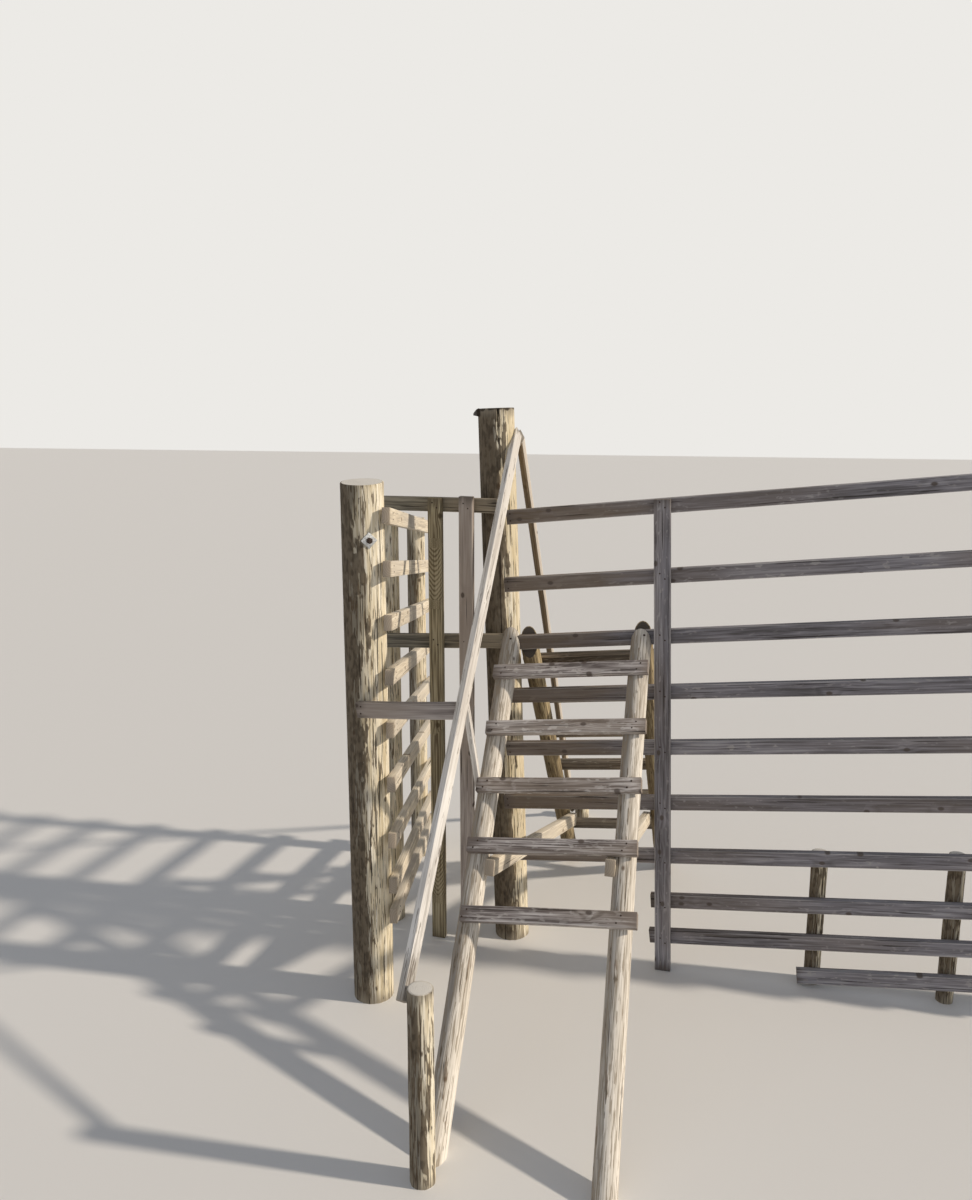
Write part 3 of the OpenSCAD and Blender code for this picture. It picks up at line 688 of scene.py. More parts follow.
def log(matrix, length, radius, seed, sides=64, step=0.04, ends=EASED, fissure=0.0, bark=0.0,
        bark_and_shade_side=0.35, flake=0.0013, bow=0.0, checks=(), bend=(0, 0, 0), rot=0.0):
    """One round timber. ends gives the rim of its far end, fissure and flake the depths of its fine cracks
    and of its bark, bark how much of that is left, bark_and_shade_side how much more on the weathered
    left, away from the sun, where the extra bark is also painted shade, checks the places round it, in
    radians, with the lengths down from the top, of its deep drying cracks, bend how far it strays across
    at its top, a quarter of the way down and at its foot, and rot how dark its rim is."""
    rng = random.Random(seed)
    bm = bmesh.new()
    turn = Matrix.Rotation(math.pi / 2, 4, "Y")
    bmesh.ops.create_cone(bm, cap_ends=True, cap_tris=False, segments=sides, radius1=radius, radius2=radius,
                          depth=length, matrix=Matrix.Translation((length / 2, 0, 0)) @ turn)
    bmesh.ops.subdivide_edges(bm, edges=long_edges(bm, length), cuts=max(3, round(length / step)),
                              use_grid_fill=True)
    cap = [f for f in bm.faces if f.normal.x > 0.9]
    for inset, rise in ends:
        bmesh.ops.inset_region(bm, faces=cap, thickness=inset, depth=rise, use_even_offset=True)
    for _ in range(2):
        bmesh.ops.inset_region(bm, faces=cap, thickness=CAP_STEP * radius, depth=0, use_even_offset=True)
    whole = length + rise_of(ends)
    pith = (rng.uniform(-PITH_LOG, PITH_LOG), rng.uniform(-PITH_LOG, PITH_LOG))
    write_grain(bm, whole, radius, radius, rng, pith)
    mark = bm.verts.layers.float_vector["mark"]
    drift = anywhere(rng)
    bow_y, bow_z = rng.uniform(-bow, bow), rng.uniform(-bow, bow)
    turned = matrix.to_3x3()
    for v in bm.verts:
        x, y, z = v.co
        out = math.hypot(y, z)
        side = out > SIDE_FROM * radius
        round_y, round_z = (y / out, z / out) if out > 1e-6 else (0, 0)
        here = (x, round_y, round_z)
        # How far a point faces the weathered left, away from the sun, where grey and bark also paint shade
        wear_or_light_mark = 0.5 + 0.5 * (turned @ Vector((0, round_y, round_z))).dot(WEATHER_AND_SHADE_SIDE)
        sink = LUMP_DEEP * radius * (1 + waver("lump", *here, drift))
        crack = 0
        skin = 0
        if fissure and side:
            line = waver("fissure", *here, drift)
            weave = waver("weave", *here, -drift)
            narrow = max(0.0, 1 - abs(line + FISSURE_WEAVE * weave) * FISSURE_NARROW)
            crack = min(1.0, narrow * max(0.0, FISSURE_RUN + weave))
            sink += fissure * crack
        if bark and side:
            level = waver("bark strip", *here, 2 * drift) + BARK_RAGGED * waver("bark scale", *here, drift)
            skin = share((level - BARK_FROM + bark + bark_and_shade_side * (wear_or_light_mark - 0.5)) * BARK_SHARP)
            sink += flake * (1 - skin)
        if rot and out > RIM_FROM * radius and whole - x < RIM_DEEP:
            crack = rot + waver("rot", *here, drift)
        for angle, reach_down in checks:
            wander = CHECK_WANDER * waver("check", x, angle, 0, drift)
            off = math.remainder(math.atan2(z, y) - angle - wander, 2 * math.pi)
            if side and abs(off) * radius < CHECK_W and whole - x < reach_down:
                crack = 1.0
                sink += CHECK_DEEP * (1 - (whole - x) / reach_down)
        factor = 1 - sink / radius
        down = share(1 - x / whole)
        stray = bend[0] * (1 - down) + bend[1] * math.sin(math.pi * math.sqrt(down)) + bend[2] * down
        swell = math.sin(math.pi * x / whole)
        v.co.y = y * factor + stray + bow_y * swell
        v.co.z = z * factor + bow_z * swell
        v[mark] = Vector((crack, skin, wear_or_light_mark))
    bm.transform(matrix)
    return bm


def saw(bm, point, normal, ends=()):
    """Saws off what lies beyond a plane, on the side its normal points to. ends gives the rim of the
    sawn-off end."""
    normal = Vector(normal).normalized()
    sunk = Vector(point) - normal * rise_of(ends)
    cut = bmesh.ops.bisect_plane(bm, geom=bm.verts[:] + bm.edges[:] + bm.faces[:], plane_co=sunk,
                                 plane_no=normal, clear_outer=True)
    rim = [e for e in cut["geom_cut"] if isinstance(e, bmesh.types.BMEdge)]
    if not rim:
        return
    cap = bmesh.ops.edgeloop_fill(bm, edges=rim)["faces"]
    for inset, rise in (*ends, FACE_RIM):
        bmesh.ops.inset_region(bm, faces=cap, thickness=inset, depth=rise, use_even_offset=False)
    place = bm.verts.layers.float_vector["place"]
    for face in cap:
        for v in face.verts:
            v[place] = Vector((0, v[place].y, v[place].z))


def finished(name, parts, material, slot, *nodes):
    """Joins shapes into one piece of the part. It takes the place of the nodes, if any are given."""
    mesh = bpy.data.meshes.new(name)
    whole = bmesh.new()
    for bm in parts:
        bm.to_mesh(mesh)
        whole.from_mesh(mesh)
        bm.free()
    whole.to_mesh(mesh)
    whole.free()
    mesh.shade_smooth()
    mesh.set_sharp_from_angle(angle=math.radians(32))
    mesh.materials.append(material)
    piece = bpy.data.objects.new(name, mesh)
    bpy.context.scene.collection.objects.link(piece)
    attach(piece, "root")
    if nodes:
        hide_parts(*nodes)


def dress(node, parts, material, slot):
    """Makes the timber piece that takes one node's place."""
    finished(node + "_timber", parts, material, slot, node)


# Nail heads: their radius, on the treads and at the poles' tops too, how far they stand out of the wood,
# how thick they are, and how much smaller they are on top
NAIL_R = 0.0045
TREAD_NAIL_R = 0.0048
POLE_NAIL_R = 0.006
NAIL_OUT = 0.0006
NAIL_T = 0.0018
NAIL_TAPER = 0.7

nails = []


def nail(point, normal, radius=NAIL_R):
    """A nail head that stands a little out of the wood."""
    bm = bmesh.new()
    outward = Vector(normal).normalized()
    turn = UP.rotation_difference(outward).to_matrix().to_4x4()
    matrix = Matrix.Translation(Vector(point) + outward * NAIL_OUT) @ turn
    bmesh.ops.create_cone(bm, cap_ends=True, segments=10, radius1=radius, radius2=radius * NAIL_TAPER,
                          depth=NAIL_T, matrix=matrix)
    nails.append(bm)


# Fence line

# How far from the tall post the stile keeps the fence's rails brown, and how far the gap panel's rails are
# paler
FENCE_DRY = 1.3
PANEL_PALE_REACH = 0.65
FENCE_ACROSS = Vector((-math.sin(RAIL_SLOPE), 0, math.cos(RAIL_SLOPE)))
FENCE_ALONG = Vector((math.cos(RAIL_SLOPE), 0, math.sin(RAIL_SLOPE)))
RAIL_MID_Y = FRONT_Y + RAIL_T / 2
TOWARDS_VIEWER = Vector((0, -1, 0))
# A rail's nails: how far from its middle line, from its end, and from the end post's middle
NAIL_UP = 0.018
NAIL_IN = 0.022
END_NAIL_IN = 0.020


def tall_x(z):
    """Place along the fence of the tall post's middle at a height."""
    return -z * math.tan(TALL_LEAN)


def rail_start(i):
    """Place along the fence of a rail's left end."""
    if i < len(RAIL_FROM):
        return RAIL_FROM[i]
    return (BATTEN_X if i < len(RAIL_STEPS) - 1 else DITCH_X[0]) - RAIL_END


rails = []
end_nail_x = BAY_L - END_NAIL_IN
for i in range(len(RAIL_STEPS)):
    upper = i < len(RAIL_FROM)
    x0 = rail_start(i)
    x1 = BAY_L + RAIL_OVERHANG
    start = Vector((x0, RAIL_MID_Y, rail_z(i, x0)))
    run = (x1 - x0) / math.cos(RAIL_SLOPE)
    rails.append(sawn(along_frame(start, FENCE_ALONG, FENCE_ACROSS), run, RAIL_W, RAIL_T, seed=100 + i,
                      dry=(0, FENCE_DRY) if upper else None))
    if upper and i != LEAN_RAIL:
        for up in (-NAIL_UP, NAIL_UP):
            spot = start + FENCE_ALONG * NAIL_IN + FENCE_ACROSS * up
            nail((spot.x, FRONT_Y, spot.z), TOWARDS_VIEWER)
    for up in (-NAIL_UP, NAIL_UP):
        nail((end_nail_x, FRONT_Y, rail_z(i, end_nail_x) + up), TOWARDS_VIEWER)
dress("fence_rails", rails, weathered_rail, "sawn_rail")

# The tall post's deep cracks: the place of each round it, in degrees from its far side by the left, and
# the length from the top down
TALL_CHECKS = ((199, 0.20), (95, 0.9))
# The lip of bark that curls off its top on the left: its place round the post and below the top, its
# width, how far it sticks out and starts inside, its thickness, how far it droops, and how much it narrows
LIP_TURN = math.radians(22)
LIP_DOWN = 0.002
LIP_W = 0.066
LIP_OUT = 0.028
LIP_IN = 0.006
LIP_T = 0.042
LIP_DROOP = 0.026
LIP_TAPER = 0.75

lean_axis = Vector((-math.sin(TALL_LEAN), 0, math.cos(TALL_LEAN)))
# More bark is left on the tall post's left half, away from the sun, than on its right: partly real bark,
# partly painted shade
post = log(along_frame((0, 0, 0), lean_axis, (0, 1, 0)), TALL_H - rise_of(TALL_RIM), TALL_R, seed=11,
           sides=120, step=0.022, ends=TALL_RIM, fissure=0.003, bark=0.10, bark_and_shade_side=2.6, flake=0.003,
           rot=0.9, checks=[(math.radians(angle), down) for angle, down in TALL_CHECKS])
saw(post, (0, 0, SOLE), -UP)
lip = bmesh.new()
bmesh.ops.create_cube(lip, size=1.0)
bmesh.ops.subdivide_edges(lip, edges=lip.edges[:], cuts=4, use_grid_fill=True)
write_grain(lip, 1, 0.5, 0.5, random.Random(19), (0, 0))
lip_mark = lip.verts.layers.float_vector["mark"]
for v in lip.verts:
    out = 0.5 - v.co.x
    slim = 1 - LIP_TAPER * out ** 1.3
    droop = LIP_DROOP * out ** 1.5
    v.co = Vector((LIP_IN - LIP_OUT * out, LIP_W * v.co.y * slim, LIP_T * (v.co.z - 0.5) * slim - droop))
    # The lip is marked as a wholly open crack, so it is painted dark all over: painted shade, as it curls
    # out on the post's shaded left
    v[lip_mark] = Vector((1, 1, 1))
lip.transform(Matrix.Translation(lean_axis * (TALL_H - LIP_DOWN)) @ Matrix.Rotation(LIP_TURN, 4, "Z")
              @ Matrix.Translation((-TALL_R, 0, 0)))
dress("tall_post", [post, lip], peeled_post, "round_post")


def upright(x, y):
    """The frame of a log that stands upright."""
    return along_frame((x, y, 0), UP, (0, 1, 0))


def round_post(node, matrix, radius, height, seed, fissure=0.003, **looks):
    """A post with its top rounded over."""
    bm = log(matrix, height - rise_of(POST_RIM), radius, seed, step=0.03, ends=POST_RIM, fissure=fissure,
             **looks)
    dress(node, [bm], peeled_post, "round_post")


def rear_post(node, x, radius, height, seed, **looks):
    """A round post behind the fence's rails."""
    round_post(node, upright(x, BACK_Y + SEAT + radius), radius, height, seed, **looks)


rear_post("end_post", BAY_L, END_R, rail_z(0, BAY_L) + END_STAND, seed=12, sides=88)
# The bark left on the ditch posts makes them grey-brown: partly their weathered colour, partly painted
# shade, as they stand in shade
for side, x, seed in (("left", DITCH_X[0], 13), ("right", DITCH_X[1], 14)):
    top = rail_z(DITCH_RAIL, x) + RAIL_W / 2 - DITCH_DROP
    rear_post("ditch_post_" + side, x, DITCH_R, top, seed, sides=48, fissure=0.002, bark=0.3)
rear_post("gate_side_post", GATE_X, GATE_R, PANEL_TOP_Z + POST_STAND, seed=15, sides=80)

UPRIGHT_MID_Y = UPRIGHT_Y + RAIL_T / 2
# Two nails a crossing, set askew so that they don't split the grain
BATTEN_NAILS = ((-0.012, 0.012), (0.014, -0.014))
PANEL_NAILS = ((-0.012, 0.014), (0.012, -0.012))
PANEL_NAILS_DOWN = 0.012

batten_top = rail_z(0, BATTEN_X) + RAIL_W / 2 - BATTEN_DROP
batten = sawn(along_frame((BATTEN_X, UPRIGHT_MID_Y, 0), lean_axis, ALONG), batten_top, BATTEN_W, RAIL_T,
              seed=21)
dress("fence_batten", [batten], weathered_rail, "sawn_rail")
for i in range(len(RAIL_STEPS) - 1):
    z = rail_z(i, BATTEN_X)
    for aside, up in BATTEN_NAILS:
        nail((BATTEN_X + tall_x(z) + aside, UPRIGHT_Y, z + up), TOWARDS_VIEWER)

# Gap panel

panel_left = GATE_X - GATE_R / 2
panel_right = tall_x(PANEL_TOP_Z) + TALL_R / 4
panel_l = panel_right - panel_left
low_z = rail_z(LEAN_RAIL, 0)
low_start = Vector((RAIL_FROM[LEAN_RAIL] - SEAT, RAIL_MID_Y, low_z + PANEL_LOW_UP))
low_along = Vector((-math.cos(PANEL_LOW_SLOPE), 0, -math.sin(PANEL_LOW_SLOPE)))
low_l = (RAIL_FROM[LEAN_RAIL] - SEAT - panel_left) / math.cos(PANEL_LOW_SLOPE)
top_board = sawn(along_frame((panel_left, RAIL_MID_Y, PANEL_TOP_Z), ALONG, UP), panel_l, RAIL_W, RAIL_T,
                 seed=31, dry=(panel_l, panel_l - PANEL_PALE_REACH))
low_board = sawn(along_frame(low_start, low_along, UP), low_l, RAIL_W, RAIL_T, seed=32, dry=(0, PANEL_PALE_REACH))
dress("panel_rail_top", [top_board], olive_rail, "sawn_rail")
dress("panel_rail_low", [low_board], olive_rail, "sawn_rail")
# The left upright was sawn close to the pith, and the right one stands a little higher
for side, x, stand, wood, pith, seed in (
        ("left", UPRIGHT_X[0], 0, olive_upright, (0.004, 0.030), 33),
        ("right", UPRIGHT_X[1], POST_STAND, mauve_upright, None, 34)):
    board = sawn(along_frame((x, UPRIGHT_MID_Y, 0), UP, ALONG), PANEL_TOP_Z + RAIL_W / 2 + stand, UPRIGHT_W,
                 RAIL_T, seed, pith=pith)
    dress("panel_upright_" + side, [board], wood, "sawn_rail")
    for z in (PANEL_TOP_Z, low_z - PANEL_NAILS_DOWN):
        for aside, up in PANEL_NAILS:
            nail((x + aside, UPRIGHT_Y, z + up), TOWARDS_VIEWER)

# Side fence

wing = Matrix.Translation(WING_AT) @ Matrix.Rotation(WING_TURN, 4, "Z")
bolt = (Matrix.Translation((WING_AT.x, WING_AT.y, WING_H - BOLT_DOWN)) @ Matrix.Rotation(BOLT_TURN, 4, "Z")
        @ Matrix.Translation((0, BOLT_FLAT - WING_R, 0)) @ Matrix.Rotation(math.pi / 2, 4, "X"))
# The near post is made longer, and its sloping top is sawn
SPARE = 0.03
# Extra bark on the wing post's left, away from the sun, darkens that side: partly bark, partly painted shade
near_post = log(wing @ upright(0, 0), WING_H + SPARE, WING_R, seed=41, sides=120, step=0.022,
                fissure=0.003, bark=-0.10, bark_and_shade_side=1.8)
top_normal = wing.to_3x3() @ Vector((0, -math.sin(WING_TOP_FALL), math.cos(WING_TOP_FALL)))
saw(near_post, wing @ Vector((0, WING_R, WING_H)), top_normal, SLOPING_RIM)
# The flat that the washer lies on
for v in near_post.verts:
    seat_point = bolt.inverted() @ v.co
    if seat_point.z > 0 and abs(seat_point.y) < WASHER_W:
        v.co = bolt @ Vector((seat_point.x, seat_point.y, 0))
dress("wing_near_post", [near_post], peeled_post, "round_post")
round_post("wing_far_post", wing @ upright(WING_R - WING_FAR_R, WING_L), WING_FAR_R, WING_FAR_H, seed=42)

# How far up and down a rail's nails are, and how far past the near post's middle the near pair is
WING_NAIL_UP = 0.015
WING_NAIL_ON = 0.01
wing_along = Vector((0, math.cos(WING_SLOPE), -math.sin(WING_SLOPE)))
wing_run = (WING_L + 2 * WING_OVERHANG) / math.cos(WING_SLOPE)
wing_right = wing.to_3x3() @ ALONG
wing_boards = []
for i, z in enumerate(WING_RAIL_Z):
    start = Vector((WING_R + SEAT + RAIL_T / 2, -WING_OVERHANG, z + WING_OVERHANG * math.tan(WING_SLOPE)))
    wing_boards.append(sawn(wing @ along_frame(start, wing_along, UP), wing_run, RAIL_W, RAIL_T, 50 + i))
    for s in (WING_OVERHANG + WING_NAIL_ON, WING_OVERHANG + WING_L):
        spot = start + wing_along * s + Vector((RAIL_T / 2, 0, 0))
        for up in (-WING_NAIL_UP, WING_NAIL_UP):
            nail(wing @ (spot + UP * up), wing_right)
dress("wing_rails", wing_boards, bleached_rail, "pale_rail")

# The bolt's nut and the end of its thread, on the square washer
NUT_R = 0.015
NUT_T = 0.012
THREAD_R = 0.008
THREAD_L = 0.008
THREAD_UP = 0.015


def ease_edges(bm, offset):
    bmesh.ops.bevel(bm, geom=bm.edges[:], offset=offset, offset_type="OFFSET", segments=2, profile=0.5,
                    affect="EDGES", material=-1)


plate = bmesh.new()
diamond = Matrix.Rotation(math.pi / 4, 4, "Z") @ Matrix.Diagonal((WASHER_W, WASHER_W, WASHER_T, 1))
bmesh.ops.create_cube(plate, size=1.0, matrix=Matrix.Translation((0, 0, WASHER_T / 2)) @ diamond)
ease_edges(plate, 0.0012)
nut = bmesh.new()
bmesh.ops.create_cone(nut, cap_ends=True, segments=6, radius1=NUT_R, radius2=NUT_R, depth=NUT_T,
                      matrix=Matrix.Translation((0, 0, WASHER_T + NUT_T / 2)))
ease_edges(nut, 0.001)
thread = bmesh.new()
bmesh.ops.create_cone(thread, cap_ends=True, segments=24, radius1=THREAD_R, radius2=THREAD_R - 0.001,
                      depth=THREAD_L, matrix=Matrix.Translation((0, 0, WASHER_T + THREAD_UP)))
for bm in (plate, nut, thread):
    bm.transform(bolt)
finished("wing_bolt_washer", [plate], zinc, "galvanised_plate", "wing_bolt")
finished("wing_bolt_nut", [nut, thread], nail_steel, "galvanised_plate")

# Ladders

NEAR_TOP_Z = rail_z(LEAN_RAIL, NEAR_X[0]) - NEAR_TOP_DROP
FAR_TOP_Z = rail_z(LEAN_RAIL, FAR_X[0]) - FAR_TOP_DROP
NEAR_DRIFT = math.tan(NEAR_LEAN) * math.sin(NEAR_SLOPE)
FAR_DRIFT = math.tan(FAR_LEAN) * math.sin(FAR_SLOPE)


def near_point(x, s):
    """A point of a near stringer's middle line, s down from its top, which is at x along the fence."""
    return Vector((x + s * NEAR_DRIFT, FRONT_Y - SEAT - s * math.cos(NEAR_SLOPE),
                   NEAR_TOP_Z + (x - NEAR_X[0]) * math.tan(RAIL_SLOPE) - s * math.sin(NEAR_SLOPE)))


def far_point(x, s):
    """The same for a far stringer."""
    return Vector((x + s * FAR_DRIFT, BACK_Y + SEAT + s * math.cos(FAR_SLOPE),
                   FAR_TOP_Z + (x - FAR_X[0]) * math.tan(RAIL_SLOPE) - s * math.sin(FAR_SLOPE)))


# How much longer a pole is made than it stays, below its foot and above its top
PAST_FOOT = 0.3
PAST_TOP = 0.25


def stringer(node, top, foot, radius, seed, wood, face_y, outward, rim, bend=(0, 0, 0)):
    """A pole that is made longer at both ends, then sawn off at the floor and upright at its top."""
    up = (top - foot).normalized()
    beyond = foot - up * PAST_FOOT
    pole = log(along_frame(beyond, up, ALONG), (top - beyond).length + PAST_TOP, radius, seed, step=0.03,
               fissure=0.0015, bark=-0.2, bow=0.002, bend=bend)
    saw(pole, (0, 0, SOLE), -UP)
    saw(pole, (0, face_y, 0), (0, outward, 0), rim)
    dress(node, [pole], wood, "round_stringer")


near_front = Vector((0, -math.sin(NEAR_SLOPE), math.cos(NEAR_SLOPE)))
nail_side = (near_front + Vector((0.1, 0, 0))).normalized()
# The left pole runs 30 mm on beside the rail, and the right one ends at its face
for side, x, on, nail_s, seed, bend in (("left", NEAR_X[0], 0.030, -0.014, 61, (-0.006, -0.004, 0.012)),
                                        ("right", NEAR_X[1], -SEAT, -0.003, 62, (-0.002, -0.018, 0.018))):
    foot_s = near_point(x, 0).z / math.sin(NEAR_SLOPE)
    stringer("near_stringer_" + side, near_point(x, 0), near_point(x, foot_s), NEAR_R, seed, peeled_pole,
             FRONT_Y + on, 1, POLE_RIM, bend)
    nail(near_point(x + bend[0], nail_s) + nail_side * NEAR_R, near_front, POLE_NAIL_R)
for side, x, seed in (("left", FAR_X[0], 63), ("right", FAR_X[1], 64)):
    foot_s = far_point(x, 0).z / math.sin(FAR_SLOPE)
    stringer("far_stringer_" + side, far_point(x, 0), far_point(x, foot_s), FAR_R, seed, brown_pole,
             BACK_Y + SEAT, -1, EASED)

# The two nails of a tread in each stringer, along the slope, and how far they are askew
TREAD_NAIL_UP = 0.016
TREAD_NAIL_ASKEW = 0.6


def tread(node, matrix, out, length, radius, seed, gap, wood):
    """A tread across two stringers a gap apart. It sticks out past the left one."""
    middle = radius - FLAT_D + TREAD_T / 2
    board = sawn(matrix @ Matrix.Translation((-out, 0, middle)), length, TREAD_W, TREAD_T, seed, edge=0.003)
    dress(node, [board], wood, "tread_board")
    face = radius - FLAT_D + TREAD_T
    for x in (0, gap):
        for y in (-TREAD_NAIL_UP, TREAD_NAIL_UP):
            nail(matrix @ Vector((x + TREAD_NAIL_ASKEW * y, y, face)), matrix.to_3x3() @ UP, TREAD_NAIL_R)


roll = Matrix.Rotation(-RAIL_SLOPE, 4, "Y")
for i, (shift, out) in enumerate(zip(NEAR_SHIFT, NEAR_OUT)):
    s = NEAR_FIRST + i * NEAR_PITCH + shift
    matrix = Matrix.Translation(near_point(NEAR_X[0], s)) @ roll @ Matrix.Rotation(NEAR_SLOPE, 4, "X")
    tread("near_tread_%d" % (i + 1), matrix, out, NEAR_TREAD_L, NEAR_R, 71 + i, NEAR_X[1] - NEAR_X[0],
          silvered_tread)
far_gap = FAR_X[1] - FAR_X[0]
for i in range(FAR_TREADS):
    s = FAR_FIRST + i * FAR_PITCH
    matrix = Matrix.Translation(far_point(FAR_X[0], s)) @ roll @ Matrix.Rotation(-FAR_SLOPE, 4, "X")
    tread("far_tread_%d" % (i + 1), matrix, (FAR_TREAD_L - far_gap) / 2, FAR_TREAD_L, FAR_R, 81 + i, far_gap,
          brown_tread)

# Base ties, on the inner sides of the stringers

near_tie_s = (FRONT_Y - SEAT - TIE_NEAR_Y) / math.cos(NEAR_SLOPE)
far_tie_s = (TIE_FAR_Y - BACK_Y - SEAT) / math.cos(FAR_SLOPE)
for side, near_x, far_x, inward, seed in (("left", NEAR_X[0], FAR_X[0], 1, 91),
                                          ("right", NEAR_X[1], FAR_X[1], -1, 92)):
    a = near_point(near_x, near_tie_s)
    b = far_point(far_x, far_tie_s)
    start = Vector((a.x + inward * (NEAR_R - FLAT_D + TIE_T / 2), TIE_NEAR_Y, a.z + TIE_NEAR_UP))
    stop = Vector((b.x + inward * (FAR_R - FLAT_D + TIE_T / 2), TIE_FAR_Y, b.z - TIE_FAR_DOWN))
    board = sawn(along_frame(start, stop - start, UP), (stop - start).length, TIE_W, TIE_T, seed)
    dress("base_tie_" + side, [board], bleached_rail, "pale_rail")

# Handrails

# How far up from its foot the near handrail is dirty
DIRTY_FOOT = 0.4
# The bars are made this much longer past the place where they meet, and sawn off there
PAST_MEET = 0.1


def near_bar(y):
    """A point of the near handrail's middle line."""
    x = NEAR_APEX_X + (NEAR_FOOT_X - NEAR_APEX_X) * y / NEAR_STUMP.y
    return Vector((x, y, APEX_Z + y * math.tan(NEAR_BAR_SLOPE)))


def far_bar(y, x):
    """A point of the far handrail's middle line."""
    return Vector((x, y, APEX_Z - y * math.tan(FAR_BAR_SLOPE)))


def bar_matrix(start, stop, twist):
    """The frame of a square bar, turned about its length as the CAD bar is."""
    d = stop - start
    lean = math.acos(d.z / d.length)
    head = math.atan2(d.y, d.x)
    turn = Matrix.Rotation(head, 4, "Z") @ Matrix.Rotation(lean, 4, "Y") @ Matrix.Rotation(twist, 4, "Z")
    across = turn.to_3x3() @ ALONG
    return along_frame(start, d, across)


def handrail(start, stop, twist, width, seed, **looks):
    return sawn(bar_matrix(start, stop, twist), (stop - start).length, width, width, seed, edge=0.003,
                bow=0.001, **looks)


foot = near_bar(NEAR_STUMP.y + NEAR_BAR_SHORT)
head = near_bar(PAST_MEET)
bar = handrail(foot, head, NEAR_BAR_TWIST, NEAR_BAR_W, seed=93, dry=(0, DIRTY_FOOT))
saw(bar, (0, MEET_Y - SEAT / 2, 0), (0, 1, 0))
dress("near_handrail", [bar], rubbed_bar, "handrail_bar")

# The far bar stands beside the tall post at its top, and beside its stump at its foot
far_half = FAR_BAR_W / 2 * (math.cos(FAR_BAR_TWIST) + math.sin(FAR_BAR_TWIST))
far_apex_x = tall_x(APEX_Z) + TALL_R / math.cos(TALL_LEAN) + far_half + SEAT
far_foot_y = (APEX_Z - FAR_STUMP_H / 2) / math.tan(FAR_BAR_SLOPE)
head = far_bar(-PAST_MEET, far_apex_x)
foot = far_bar(far_foot_y + STUMP_R / 2, FAR_FOOT_X)
# The far bar keeps its sunny side, which brown_bar paints pale: a painted highlight
bar = handrail(head, foot, FAR_BAR_TWIST, FAR_BAR_W, seed=94, sun=True)
saw(bar, (0, MEET_Y + SEAT / 2, 0), (0, -1, 0))
dress("far_handrail", [bar], brown_bar, "handrail_bar")

far_stump_x = FAR_FOOT_X + far_half + SEAT + STUMP_R
round_post("near_stump", upright(NEAR_STUMP.x, NEAR_STUMP.y), STUMP_R, NEAR_STUMP_H, seed=95, bark=0.1)
round_post("far_stump", upright(far_stump_x, far_foot_y), STUMP_R, FAR_STUMP_H, seed=96, bark=0.1)

# The tie rail stops short of the stringer. Its nails are this far from its left end and from its middle
TIE_RAIL_SHORT = 0.008
TIE_NAIL_IN = 0.03
TIE_NAIL_UP = (-0.016, 0.018)
tie_run = TIE_RAIL_RIGHT - TIE_RAIL_LEFT
board = sawn(along_frame(TIE_RAIL_LEFT, tie_run, UP), tie_run.length - TIE_RAIL_SHORT, RAIL_W, RAIL_T,
             seed=97)
dress("tie_rail", [board], mauve_upright, "sawn_rail")
spot = TIE_RAIL_LEFT + tie_run.normalized() * TIE_NAIL_IN
for up in TIE_NAIL_UP:
    nail(spot + Vector((-0.006, -RAIL_T / 2, up)), (-0.2, -1, 0))

foot = near_point(NEAR_X[0], BRACE_S) - Vector((NEAR_R - FLAT_D + BRACE_T / 2, 0, 0))
head = near_bar(BRACE_HEAD_Y)
board = sawn(bar_matrix(head, foot, 0), (foot - head).length, BRACE_W, BRACE_T, seed=98)
dress("handrail_brace", [board], rubbed_bar, "handrail_bar")

finished("nail_heads", nails, nail_steel, "galvanised_plate")

# Floor, backdrop, lamps and camera

FLOOR_SIZE = 60
# How much light the studio's walls throw on the part
WALL_LIGHT = 0.32
# The photo's own viewpoint: where the eye is, how many degrees it looks down and to the left, and its
# focal length against the height of the picture
EYE = (1.225, -4.990, 2.950)
LOOK_DOWN = 11.05
LOOK_LEFT = 15.5
FOCAL = 973 / 1200
SENSOR = 36


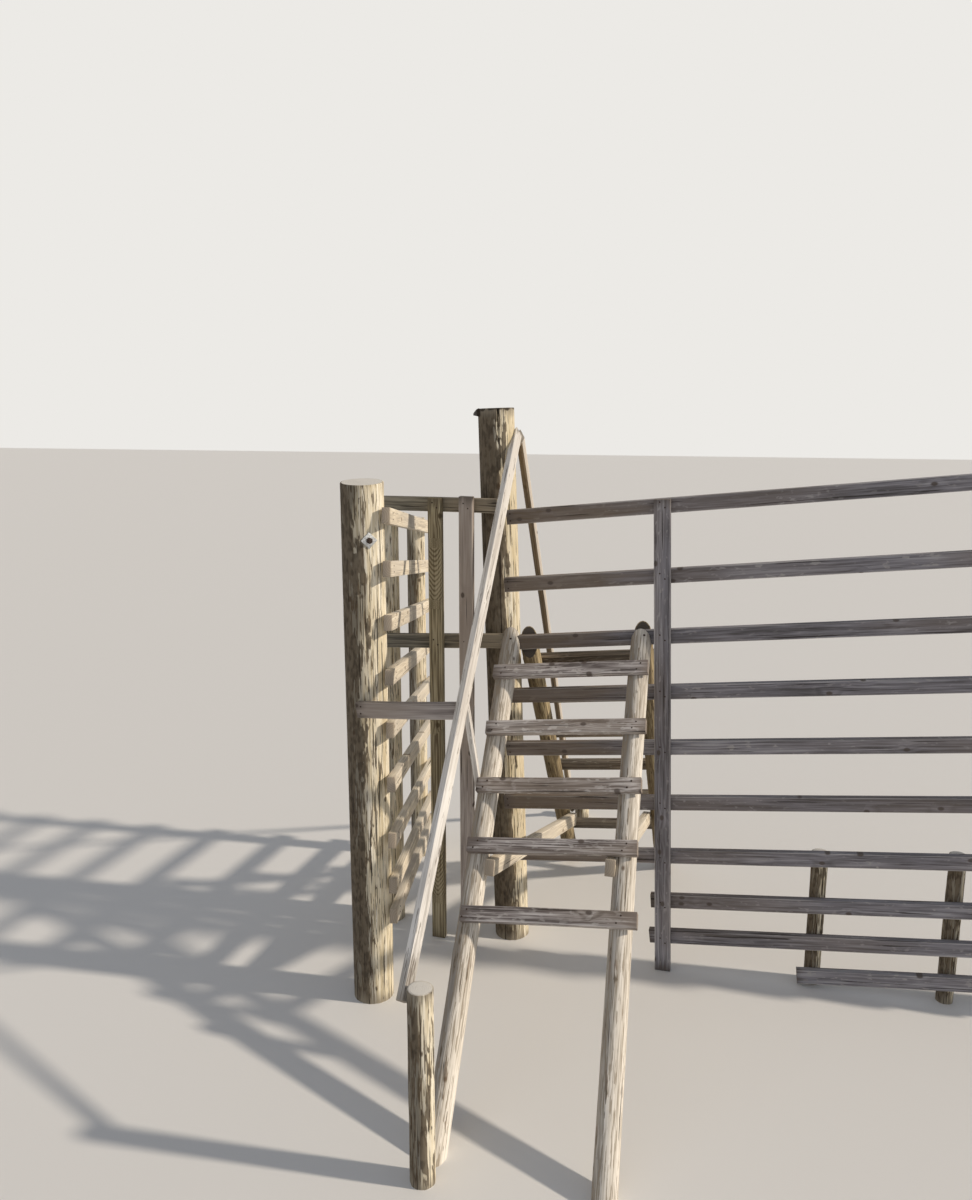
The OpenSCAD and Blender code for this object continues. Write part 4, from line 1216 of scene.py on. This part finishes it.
def studio_paper():
    """Matt paper, off white."""
    material = bpy.data.materials.new("studio_paper")
    material.use_nodes = True
    shader = material.node_tree.nodes["Principled BSDF"]
    shader.inputs["Base Color"].default_value = colour("#e2e1df")
    shader.inputs["Roughness"].default_value = 0.9
    return material


floor_mesh = bpy.data.meshes.new("studio_floor")
sheet = bmesh.new()
bmesh.ops.create_grid(sheet, x_segments=1, y_segments=1, size=FLOOR_SIZE)
sheet.to_mesh(floor_mesh)
sheet.free()
floor_mesh.materials.append(studio_paper())
floor = bpy.data.objects.new("studio_floor", floor_mesh)
bpy.context.scene.collection.objects.link(floor)

# The camera and shiny metal see pale paper all round, and the part is lit by a softer sky
world = bpy.data.worlds.new("studio")
bpy.context.scene.world = world
world.use_nodes = True
tree = world.node_tree
tree.nodes.clear()
rays = tree.nodes.new("ShaderNodeLightPath").outputs
soft = add(tree, "Background", colour("#eef2fa"), WALL_LIGHT)
paper = add(tree, "Background", colour("#eceae6"), 1.0)
direct = add(tree, "Math", rays["Is Camera Ray"], rays["Is Glossy Ray"], operation="MAXIMUM")
add(tree, "OutputWorld", add(tree, "MixShader", direct, soft, paper))


def lamp(name, azimuth, height, strength, spread, tint):
    """A soft sun. azimuth counts from -Y, the viewer's side, to the right; all in degrees."""
    light = bpy.data.lights.new(name, "SUN")
    light.energy = strength
    light.angle = math.radians(spread)
    light.color = colour(tint)[:3]
    thing = bpy.data.objects.new(name, light)
    bpy.context.scene.collection.objects.link(thing)
    thing.rotation_euler = (math.radians(90 - height), 0, math.radians(azimuth))


# Low sun from the right, and a little light from the front left
lamp("key", azimuth=95, height=30, strength=2.9, spread=2.5, tint="#fff2e0")
lamp("fill", azimuth=-20, height=30, strength=0.3, spread=60, tint="#eef3ff")

camera = bpy.data.cameras.new("camera")
camera.sensor_fit = "VERTICAL"
camera.sensor_height = SENSOR
camera.lens = SENSOR * FOCAL
camera.clip_end = 200
viewer = bpy.data.objects.new("camera", camera)
bpy.context.scene.collection.objects.link(viewer)
viewer.location = EYE
viewer.rotation_euler = (math.radians(90 - LOOK_DOWN), 0, math.radians(LOOK_LEFT))
bpy.context.scene.camera = viewer
bpy.context.scene.view_settings.view_transform = "Standard"
